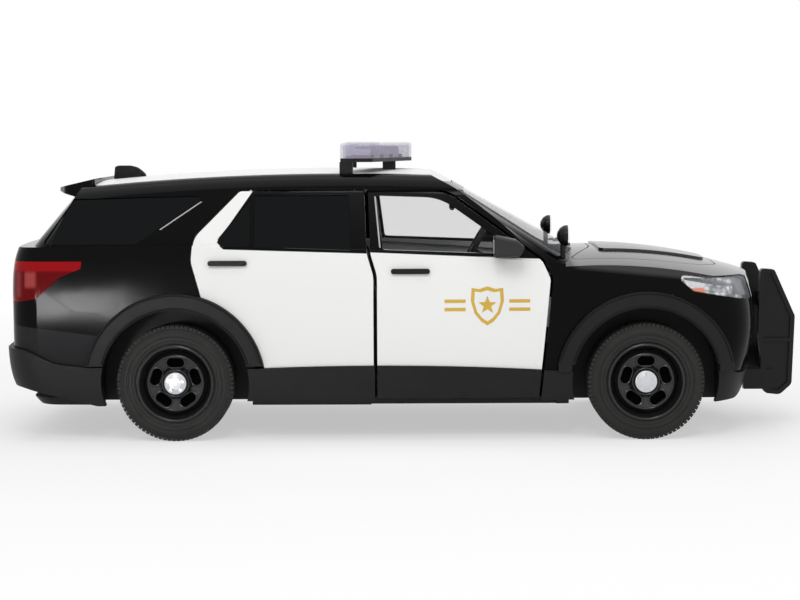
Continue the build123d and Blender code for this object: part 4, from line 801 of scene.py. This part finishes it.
class PATROL_OT_wheels(bpy.types.Operator):
    """Treaded tyres, satin rims with beads, and marks on the hub caps"""

    bl_idname = "patrol.wheels"
    bl_label = "Wheels"

    # depth from the outer face, radius below the tyre's own: sidewall rings and shoulder
    SIDEWALL = (
        (0.7, 5.15), (0.3, 4.7), (0.3, 4.1), (0.02, 3.95), (0.02, 3.2), (0.22, 3.05), (0.22, 2.7),
        (0.04, 2.6), (0.06, 2.15), (0.5, 1.25), (1.1, 0.5),
    )
    TYRE_W = 10.0
    TYRE_STEPS = 96
    GROOVES = (2.9, 4.8, 6.7)
    GROOVE_W = 0.4
    GROOVE_D = 0.35
    # rows of lugs: depth of their middle from the outer face, width, share of the pitch they turn by
    LUG_ROWS = ((4.05, 1.4, 0.5), (5.95, 1.4, 0.0))
    SHOULDER_ROWS = ((1.8, 2.0, 0.0), (8.2, 2.0, 0.5))
    SHOULDER_H = 1.35
    # how deep the inner lugs stand in the tread, and how far all lugs stay inside the tyre's radius
    ROOT = 0.2
    CROWN = 0.02
    # slots of the web: how many, ring radius, half the straight length and the round ends
    SLOT_COUNT = 5
    SLOT_RING_R = 5.5
    SLOT_HALF = 0.95
    SLOT_END_R = 1.6
    BEAD_R = 0.3
    BEAD_STEPS = 28
    # the web's depth at a radius, and how it rises outwards
    WEB_IN = (2.6, 4.1)
    WEB_SLOPE = -1.0 / 3.2
    # depth from the tyre's face, ring radius, bead radius
    RINGS = ((0.42, RIM_R - 0.42, 0.34), (1.72, RIM_R - 3.05, 0.28), (1.5, 3.55, 0.25))
    RING_STEPS = 72
    RING_SIDES = 8
    # depths from the tyre's face between which the rim turns dull, and its gloss
    DULL_FROM, DULL_TO = 2.6, 3.3
    RIM_GLOSS = 0.5
    # marks on a hub cap: how many, ring radius, and their section (depth from the tyre's face, radius)
    MARK_COUNT = 5
    MARK_RING_R = 2.1
    MARK = ((1.0, 0.0), (1.0, 0.46), (0.62, 0.46), (0.55, 0.34), (0.55, 0.0))
    MARK_STEPS = 16

    def execute(self, context):
        rubber = plastic_material("tyre rubber", (0.021, 0.021, 0.02, 1.0), (0.55, 0.7))
        rim = self.rim_material()
        mark = metal_material("hub mark", (0.24, 0.24, 0.25, 1.0), (0.3, 0.4), 0.008)
        dress(rim, "front_rims", "rear_rims")
        lugs = ring_tree()
        for end, axle in AXLES.items():
            tyres, beads, marks = bmesh.new(), bmesh.new(), bmesh.new()
            for side in SIDE_NAMES:
                self.add_tyre(tyres, axle, side, lugs, rubber)
                self.add_beads(beads, axle, side)
                self.add_marks(marks, axle, side)
            piece = place(f"{end}_treaded_tyres", tyres, rubber, f"{end}_wheels")
            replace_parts(piece, f"{end}_tyres")
            place(f"{end}_rim_beads", beads, rim, f"{end}_wheels")
            place(f"{end}_hub_marks", marks, mark, f"{end}_wheels")
        return {"FINISHED"}

    def rim_material(self):
        """Gloss black that fades to dull black deep in the slots."""
        material = plastic_material("rim black", (0.006, 0.006, 0.0065, 1.0), (0.2, 0.3), bump=0.05)
        tree, surface = main_shader(material)
        values = {0: coordinates(tree)}
        sides = add_node(tree, "ShaderNodeVectorMath", values, operation="ABSOLUTE").outputs["Vector"]
        axes = add_node(tree, "ShaderNodeSeparateXYZ", {"Vector": sides})
        deep, shallow = (TYRE_FACE_Y - self.DULL_TO) * MM, (TYRE_FACE_Y - self.DULL_FROM) * MM
        gloss = spread(tree, axes.outputs["Y"], 0.0, self.RIM_GLOSS, deep, shallow)
        put(tree, gloss, surface.inputs["Specular IOR Level"])
        return material

    def on_ring(self, axle, radius, turn, y=0.0):
        """A point round an axle, turned from straight up."""
        return Vector((axle.x + radius * math.sin(turn), y, axle.z + radius * math.cos(turn)))

    def add_marks(self, source, axle, side):
        """Small round marks on a hub cap."""
        section = [(side * (TYRE_FACE_Y - depth), radius) for depth, radius in self.MARK]
        for step in range(self.MARK_COUNT):
            at = self.on_ring(axle, self.MARK_RING_R, 2 * math.pi * step / self.MARK_COUNT)
            add_turned(source, section, at, self.MARK_STEPS)

    def add_beads(self, source, axle, side):
        """Raised beads round the slots, the rim's lip and the web."""
        for slot in range(self.SLOT_COUNT):
            about = 2 * math.pi * slot / self.SLOT_COUNT
            path = []
            for step in range(self.BEAD_STEPS):
                angle = 2 * math.pi * step / self.BEAD_STEPS
                across = self.SLOT_END_R * math.cos(angle) + math.copysign(self.SLOT_HALF, math.cos(angle))
                out = self.SLOT_RING_R + self.SLOT_END_R * math.sin(angle)
                radius = math.hypot(across, out)
                depth = self.WEB_IN[0] + (radius - self.WEB_IN[1]) * self.WEB_SLOPE
                turn = about + math.atan2(across, out)
                path.append(self.on_ring(axle, radius, turn, side * (TYRE_FACE_Y - depth)))
            add_tube(source, path, self.BEAD_R, ACROSS, closed=True)
        for depth, radius, bead in self.RINGS:
            section = []
            for step in range(self.RING_SIDES):
                angle = 2 * math.pi * step / self.RING_SIDES
                along = side * (TYRE_FACE_Y - depth + bead * math.sin(angle))
                section.append((along, radius + bead * math.cos(angle)))
            add_turned(source, section, (axle.x, 0.0, axle.z), self.RING_STEPS)

    def add_tyre(self, source, axle, side, lugs, rubber):
        """A tyre with ringed sidewalls, a grooved tread and rows of lugs."""
        given = sizes()
        base = TYRE_R - given.lug_height
        rows = [(depth, TYRE_R - below) for depth, below in self.SIDEWALL]
        for depth in self.GROOVES:
            rows += [(depth, base), (depth, base - self.GROOVE_D)]
            rows += [(depth + self.GROOVE_W, base - self.GROOVE_D), (depth + self.GROOVE_W, base)]
        rows += [(self.TYRE_W - depth, TYRE_R - below) for depth, below in reversed(self.SIDEWALL)]
        section = [(side * (TYRE_FACE_Y - depth), radius) for depth, radius in rows]
        add_turned(source, section, (axle.x, 0.0, axle.z), self.TYRE_STEPS)
        pitch = 2 * math.pi * base / given.lug_count
        lug_rows = [(*row, given.lug_height + self.ROOT) for row in self.LUG_ROWS]
        lug_rows += [(*row, self.SHOULDER_H) for row in self.SHOULDER_ROWS]
        for depth, lug_width, phase, height in lug_rows:
            ring = node_mesh(lugs, {
                "Count": given.lug_count, "Radius": TYRE_R - self.CROWN - height / 2, "Height": height,
                "Length": pitch * given.lug_share, "Width": lug_width, "Material": rubber,
            })
            spot = Matrix.Translation((axle.x, side * (TYRE_FACE_Y - depth), axle.z))
            stand = Matrix.Rotation(math.pi / 2, 4, "X")
            turn = Matrix.Rotation(2 * math.pi * phase / given.lug_count, 4, "Z")
            add_mesh(source, ring, spot @ (stand @ turn))


class PATROL_OT_emblems(bpy.types.Operator):
    """A plain printed shield with a star and two pairs of bars on each front door"""

    bl_idname = "patrol.emblems"
    bl_label = "Emblems"

    # front half of the shield about its middle: along the car, height
    SHIELD = ((0.0, 5.0), (2.2, 4.3), (4.2, 4.6), (4.4, 1.2), (3.4, -2.2), (1.7, -4.3), (0.0, -5.4))
    FIELD_SHARE = 0.8
    STAR_R = (2.5, 1.05)
    STAR_TIPS = 5
    BAR = (5.6, 0.9)
    BAR_GAP = 8.6
    BAR_ROWS = (-1.1, 1.1)
    CENTRE = (22.0, 36.4)
    # thickness of a print as a share of its lift
    THICK_SHARE = 0.8

    def execute(self, context):
        gold = plastic_material("gold print", paint().gold, (0.35, 0.45), bump=0.05, drift=0.08)
        pale = plastic_material(
            "white print", (0.8, 0.8, 0.78, 1.0), (0.35, 0.45), bump=0.05, drift=0.03
        )
        shield = [*self.SHIELD, *((-x, z) for x, z in reversed(self.SHIELD) if x)]
        field = [(self.FIELD_SHARE * x, self.FIELD_SHARE * z) for x, z in shield]
        star = []
        for step in range(2 * self.STAR_TIPS):
            radius, turn = self.STAR_R[step % 2], math.pi * step / self.STAR_TIPS
            star.append((radius * math.sin(turn), radius * math.cos(turn)))
        half_l, half_h = self.BAR[0] / 2, self.BAR[1] / 2
        flat = ((-half_l, -half_h), (half_l, -half_h), (half_l, half_h), (-half_l, half_h))
        bars = [
            [(x + way * self.BAR_GAP, z + row) for x, z in flat] for way in (-1, 1) for row in self.BAR_ROWS
        ]
        lift = sizes().print_lift
        for side, side_name in SIDE_NAMES.items():
            surface = surface_of(f"front_door_{side_name}")
            gold_source, pale_source = bmesh.new(), bmesh.new()
            for outline, level, source in (
                (shield, 1, gold_source), (field, 2, pale_source), (star, 3, gold_source),
                *((bar, 1, gold_source) for bar in bars),
            ):
                thick = lift * self.THICK_SHARE
                add_side_print(source, surface, outline, side, lift * level, thick, self.CENTRE)
            body = f"{side_name}_door"
            place(f"emblem_gold_{side_name}", gold_source, gold, body)
            place(f"emblem_field_{side_name}", pale_source, pale, body)
        return {"FINISHED"}


class PATROL_OT_light_bar(bpy.types.Operator):
    """Dividers and brown boards under the light bar's lens"""

    bl_idname = "patrol.light_bar"
    bl_label = "Light bar"

    LAMP_COUNT = 4
    LAMP_L = 4.4
    FIRST_Y = 3.6
    PITCH_Y = 6.2
    BOARD = (6.2, 5.4, 0.9)
    DIVIDER = (6.6, 0.35, 3.1)

    def execute(self, context):
        board = plastic_material("lamp board", (0.16, 0.07, 0.04, 1.0), (0.5, 0.6), drift=0.5)
        divider = plastic_material("lamp divider", (0.42, 0.4, 0.5, 1.0), (0.3, 0.4), drift=0.08)
        low, high = box_mm("light_bar_lamps")
        # how far back each lamp lies behind the one before it
        sweep = (high.x - low.x - self.LAMP_L) / (self.LAMP_COUNT - 1)
        first_x = high.x - self.LAMP_L / 2
        row = row_tree()
        # name, size, material, how many, share of the pitch that the first one lies beyond a lamp
        for name, size, material, count, offset in (
            ("light_bar_boards", self.BOARD, board, self.LAMP_COUNT, 0.0),
            ("light_bar_dividers", self.DIVIDER, divider, self.LAMP_COUNT - 1, 0.5),
        ):
            source = bmesh.new()
            for side in SIDE_NAMES:
                first_y = side * (self.FIRST_Y + self.PITCH_Y * offset)
                add_mesh(source, node_mesh(row, {
                    "Count": count, "Start": (first_x - sweep * offset, first_y, low.z + size[2] / 2),
                    "Step": (-sweep, side * self.PITCH_Y, 0.0), "Size": size, "Material": material,
                }), Matrix())
            place(name, source, material, "body")
        return {"FINISHED"}


class PATROL_OT_fittings(bpy.types.Operator):
    """Steering wheel, seals, wipers, mirrors, reflectors, aerial, arch edges and feet, painted highlights
    along the window edges
    """

    bl_idname = "patrol.fittings"
    bl_label = "Fittings"

    WHEEL_AT = Vector((20.0, 17.0, 47.6))
    WHEEL_R = 7.4
    WHEEL_TILT = math.radians(62.0)
    WHEEL_STEPS = 48
    WHEEL_BEAD = 0.75
    SPOKES = (0, 180, 270)
    SPOKE_BEAD = 0.55
    # hub and column: places along the column from the wheel's middle, radius, sides
    STEM = (((0.6, -0.8), 2.0, 16), ((-0.6, -6.0, -13.0), 0.9, 12))
    # strip and bulb over a front door: along the car, inside the door, above and below its top
    SEAL_X = -1.5
    SEAL_IN = 1.2
    SEAL_RISE = 0.5
    SEAL_SIZE = (22.0, 1.2, 2.2)
    SEAL_BEVEL = 0.3
    BULB = (-12.3, -1.5, 9.3)
    BULB_R = 0.45
    # seal behind the gap at the foot of the windscreen pillar: along the car, height
    PILLAR = (
        (29.7, 54.0), (31.0, 53.0), (32.1, 52.0), (33.2, 51.0), (34.7, 49.9), (36.2, 48.9), (37.3, 48.1),
    )
    PILLAR_Y = 33.5
    PILLAR_R = 1.0
    # wipers: ends of the blades across the car, and how far back from the foot of the windscreen
    BLADES = ((-25.0, -3.0), (3.0, 25.0))
    BLADE_BACK = 1.2
    BLADE_LIFT = 0.45
    BLADE_STEPS = 10
    BLADE_R = 0.35
    # points of an arm: back from the foot, across from the blade's middle, lift off the glass
    ARM = ((1.2, 0.0, 0.75), (0.4, 4.0, 0.9), (0.0, 8.0, 0.6))
    ARM_R = 0.45
    # how the windscreen's foot bows back across the car, and how high above it points are looked for
    FOOT_BOW = 0.11
    FOOT_RISE = 1.2
    # glass of a door mirror, a little outwards of its middle: outline, lift and thickness
    MIRROR_FACE = ((-2.4, -1.7), (2.4, -1.7), (2.7, 1.2), (2.1, 1.8), (-2.2, 1.8), (-2.7, 1.2))
    MIRROR_OUT = 1.0
    MIRROR_PRINT = (0.1, 0.2)
    # reflectors below the top of the rear bumper: outline, lift and thickness
    REFLECTOR = ((-3.4, -0.5), (3.4, -0.5), (3.4, 0.5), (-3.4, 0.5))
    REFLECTOR_Y = 27.0
    REFLECTOR_DOWN = 2.6
    REFLECTOR_PRINT = (0.15, 0.3)
    # side of the aerial: share of its length from the rear, share of its height
    FIN_SIDE = (
        (0.0, 0.0), (0.04, 0.9), (0.12, 1.0), (0.52, 1.0), (0.74, 0.86), (0.9, 0.58), (1.0, 0.34),
        (1.0, 0.0),
    )
    FIN_BEVEL = 0.35
    # beads along an arch: radius from the axle, thickness; their ends above the arch's foot
    LIPS = ((23.8, 0.32), (20.2, 0.3))
    LIP_STEPS = 40
    LIP_RISE = 0.6
    # painted highlights: pale strips along the rear edge of the front window, and along the front edge of
    # the quarter window on the body beside it
    FRONT_EDGE_HIGHLIGHT = ((-8.05, 65.2), (-7.65, 65.2), (-6.35, 51.7), (-6.75, 51.7))
    QUARTER_EDGE_HIGHLIGHT = ((-65.7, 56.6), (-65.2, 56.6), (-54.2, 64.0), (-54.7, 64.0))
    HIGHLIGHT_PRINT = (0.06, 0.1)
    # feet of the front arches: middle on the right side, size, turn about the vertical
    FEET = (
        ((42.75, -40.0, 19.5), (3.7, 2.0, 2.2), 0.0),
        ((86.1, -37.9, 19.4), (4.5, 1.6, 2.3), math.radians(21.8)),
    )
    FEET_BEVEL = 0.2
    # inside mirror, and its stalk: where it is cast up from, its share of the way, radius
    MIRROR_AT = Vector((13.6, 0.0, 61.9))
    MIRROR_SIZE = (1.3, 11.0, 3.2)
    MIRROR_BEVEL = 0.4
    STALK_FROM = Vector((3.4, 0.0, -5.0))
    STALK_SHARE = 0.94
    STALK_R = 0.4

    def execute(self, context):
        dull = plastic_material("dull black", (0.005, 0.005, 0.0055, 1.0), (0.45, 0.6), gloss=0.15)
        self.build_steering(dull)
        self.build_seals(dull)
        self.build_wipers(dull)
        self.build_mirrors()
        self.build_reflectors()
        self.build_fin(dull)
        self.build_arch_lips(dull)
        self.build_edge_highlights()
        self.build_arch_feet()
        self.build_inside_mirror(dull)
        return {"FINISHED"}

    def build_steering(self, dull):
        """Rim, three spokes, hub and column."""
        source = bmesh.new()
        face = Vector((-math.sin(self.WHEEL_TILT), 0.0, math.cos(self.WHEEL_TILT)))
        rise = face.cross(ACROSS)
        at = self.WHEEL_AT

        def on_rim(angle):
            return at + ACROSS * self.WHEEL_R * math.cos(angle) + rise * self.WHEEL_R * math.sin(angle)

        circle = [on_rim(2 * math.pi * step / self.WHEEL_STEPS) for step in range(self.WHEEL_STEPS)]
        add_tube(source, circle, self.WHEEL_BEAD, face, closed=True, segments=10)
        for turn in self.SPOKES:
            tip = on_rim(math.radians(turn))
            add_tube(source, [at, at.lerp(tip, 0.5), tip], self.SPOKE_BEAD, face)
        for places, radius, sides in self.STEM:
            add_tube(source, [at + face * along for along in places], radius, ACROSS, segments=sides)
        piece = place("steering_wheel_dressed", source, dull, "body")
        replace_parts(piece, "steering_wheel")

    def build_seals(self, dull):
        """Seals behind the gaps over each front door and at the foot of each windscreen pillar."""
        high = box_mm("front_door_right")[1]
        for side, side_name in SIDE_NAMES.items():
            source = bmesh.new()
            inside = side * (-high.y - self.SEAL_IN)
            strip_at = (self.SEAL_X, inside, high.z + self.SEAL_RISE)
            add_box(source, strip_at, self.SEAL_SIZE, self.SEAL_BEVEL)
            bulb = [Vector((x, inside, high.z - self.SEAL_RISE)) for x in self.BULB]
            add_tube(source, bulb, self.BULB_R, UP)
            pillar = [Vector((x, side * self.PILLAR_Y, z)) for x, z in self.PILLAR]
            add_tube(source, pillar, self.PILLAR_R, ACROSS)
            place(f"door_seal_{side_name}", source, dull, "body")

    def build_wipers(self, dull):
        """Two wipers at rest along the foot of the windscreen."""
        surface = surface_of("windscreen")
        source = bmesh.new()
        for start_y, end_y in self.BLADES:
            blade = []
            for step in range(self.BLADE_STEPS + 1):
                y = start_y + (end_y - start_y) * step / self.BLADE_STEPS
                blade.append(self.on_glass(surface, self.BLADE_BACK, y, self.BLADE_LIFT))
            add_tube(source, blade, self.BLADE_R, UP)
            middle_y = (start_y + end_y) / 2
            arm = [self.on_glass(surface, back, middle_y + y, lift) for back, y, lift in self.ARM]
            add_tube(source, arm, self.ARM_R, UP)
        place("wipers", source, dull, "body")

    def on_glass(self, surface, back, y, lift):
        """The point on the windscreen nearest to a place over its foot, lifted off the glass."""
        low, high = box_mm("windscreen")
        over = Vector((high.x - back - self.FOOT_BOW * abs(y), y, low.z + self.FOOT_RISE)) * MM
        spot, normal, _, _ = surface.find_nearest(over)
        away = normal if normal.z > 0 else -normal
        return spot / MM + away * lift

    def build_mirrors(self):
        """The glass of each door mirror."""
        silver = metal_material("mirror silver", (0.75, 0.76, 0.78, 1.0), (0.06, 0.12))
        for side, side_name in SIDE_NAMES.items():
            name = f"mirror_{side_name}"
            start = middle(name) + ACROSS * side * self.MIRROR_OUT
            start.x = box_mm(name)[0].x - BEHIND
            source = bmesh.new()
            add_print(source, surface_of(name), self.MIRROR_FACE, start, AHEAD, *self.MIRROR_PRINT)
            place(f"mirror_face_{side_name}", source, silver, f"{side_name}_door")

    def build_reflectors(self):
        """Red reflectors on the rear bumper."""
        red = glass_material("reflector red", (0.35, 0.006, 0.008, 1.0), 1.0, 0.3, (0.1, 0.2))
        surface = surface_of("rear_bumper")
        low, high = box_mm("rear_bumper")
        source = bmesh.new()
        for side in SIDE_NAMES:
            start = Vector((low.x - BEHIND, side * self.REFLECTOR_Y, high.z - self.REFLECTOR_DOWN))
            add_print(source, surface, self.REFLECTOR, start, AHEAD, *self.REFLECTOR_PRINT)
        place("rear_reflectors", source, red, "body")

    def build_fin(self, dull):
        """A rounder aerial in place of the plain one."""
        low, high = box_mm("antenna_fin")
        long, wide, tall = high - low
        source = bmesh.new()
        face = source.faces.new([
            source.verts.new((low.x + long * along, low.y, low.z + tall * up)) for along, up in self.FIN_SIDE
        ])
        moved = bmesh.ops.extrude_face_region(source, geom=[face])["geom"]
        far = [item for item in moved if isinstance(item, bmesh.types.BMVert)]
        bmesh.ops.translate(source, vec=(0.0, wide, 0.0), verts=far)
        bevel_edges(source, source.edges[:], self.FIN_BEVEL)
        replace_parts(place("aerial_dressed", source, dull, "body"), "antenna_fin")

    def build_arch_lips(self, dull):
        """Beads along both edges of each wheel arch."""
        surface = surface_of("arch_trims")
        foot = box_mm("arch_trims")[0].z + self.LIP_RISE
        source = bmesh.new()
        for axle in AXLES.values():
            for side in SIDE_NAMES:
                for radius, bead in self.LIPS:
                    start = math.asin((foot - axle.z) / radius)
                    path = []
                    for step in range(self.LIP_STEPS + 1):
                        angle = start + (math.pi - 2 * start) * step / self.LIP_STEPS
                        x, z = axle.x + radius * math.cos(angle), axle.z + radius * math.sin(angle)
                        over = Vector((x, side * OUTSIDE, z)) * MM
                        hit = surface.ray_cast(over, ACROSS * -side)[0]
                        if hit is not None:
                            path.append(hit / MM)
                    add_tube(source, path, bead, ACROSS)
        place("arch_lips", source, dull, "body")

    def build_edge_highlights(self):
        """Painted highlights: pale strips along the edges of the front windows and the quarter windows."""
        # pale grey printed in place of the highlights on the window edges
        pale = plastic_material(
            "painted edge highlight", (0.42, 0.42, 0.42, 1.0), (0.2, 0.3), bump=0.05, drift=0.1
        )
        shell = surface_of("body_shell")
        quarters = bmesh.new()
        for side, side_name in SIDE_NAMES.items():
            source = bmesh.new()
            door = surface_of(f"front_door_{side_name}")
            add_side_print(source, door, self.FRONT_EDGE_HIGHLIGHT, side, *self.HIGHLIGHT_PRINT)
            place(f"edge_highlight_{side_name}", source, pale, f"{side_name}_door")
            add_side_print(quarters, shell, self.QUARTER_EDGE_HIGHLIGHT, side, *self.HIGHLIGHT_PRINT)
        place("quarter_edge_highlights", quarters, pale, "body")

    def build_arch_feet(self):
        """Blocks that close the gap between each front arch and the sill and bumper under it."""
        source = bmesh.new()
        for side in SIDE_NAMES:
            for (x, y, z), size, turn in self.FEET:
                add_box(source, (x, -side * y, z), size, self.FEET_BEVEL, -side * turn)
        place("arch_feet", source, node_object("arch_trims").data.materials[0], "body")

    def build_inside_mirror(self, dull):
        """The mirror under the top of the windscreen, on a stalk."""
        at = self.MIRROR_AT
        glass = surface_of("windscreen").ray_cast((at + self.STALK_FROM) * MM, UP)[0]
        source = bmesh.new()
        add_box(source, at, self.MIRROR_SIZE, self.MIRROR_BEVEL)
        tip = at.lerp(glass / MM, self.STALK_SHARE)
        add_tube(source, [at, at.lerp(tip, 0.5), tip], self.STALK_R, ACROSS)
        place("inside_mirror", source, dull, "body")


class PATROL_PT_panel(bpy.types.Panel):
    """Lists the steps that dress the car"""

    bl_idname = "PATROL_PT_panel"
    bl_label = "Patrol Car"
    bl_space_type = "VIEW_3D"
    bl_region_type = "UI"
    bl_category = "Patrol Car"

    def draw(self, context):
        for step in STEPS:
            self.layout.operator(step.bl_idname)


STEPS = (
    PATROL_OT_stage, PATROL_OT_paint, PATROL_OT_glass, PATROL_OT_trim, PATROL_OT_wheels,
    PATROL_OT_emblems, PATROL_OT_light_bar, PATROL_OT_fittings,
)
GROUPS = {"patrol_paint": PatrolPaint, "patrol_sizes": PatrolSizes, "patrol_stage": PatrolStage}
CLASSES = (*GROUPS.values(), *STEPS, PATROL_PT_panel)


def register():
    for item in CLASSES:
        bpy.utils.register_class(item)
    for name, group in GROUPS.items():
        setattr(bpy.types.Scene, name, bpy.props.PointerProperty(type=group))


def unregister():
    for name in GROUPS:
        delattr(bpy.types.Scene, name)
    for item in reversed(CLASSES):
        bpy.utils.unregister_class(item)


def main():
    register()
    for step in STEPS:
        group, name = step.bl_idname.split(".")
        getattr(getattr(bpy.ops, group), name)()


if __name__ == "__main__":
    main()
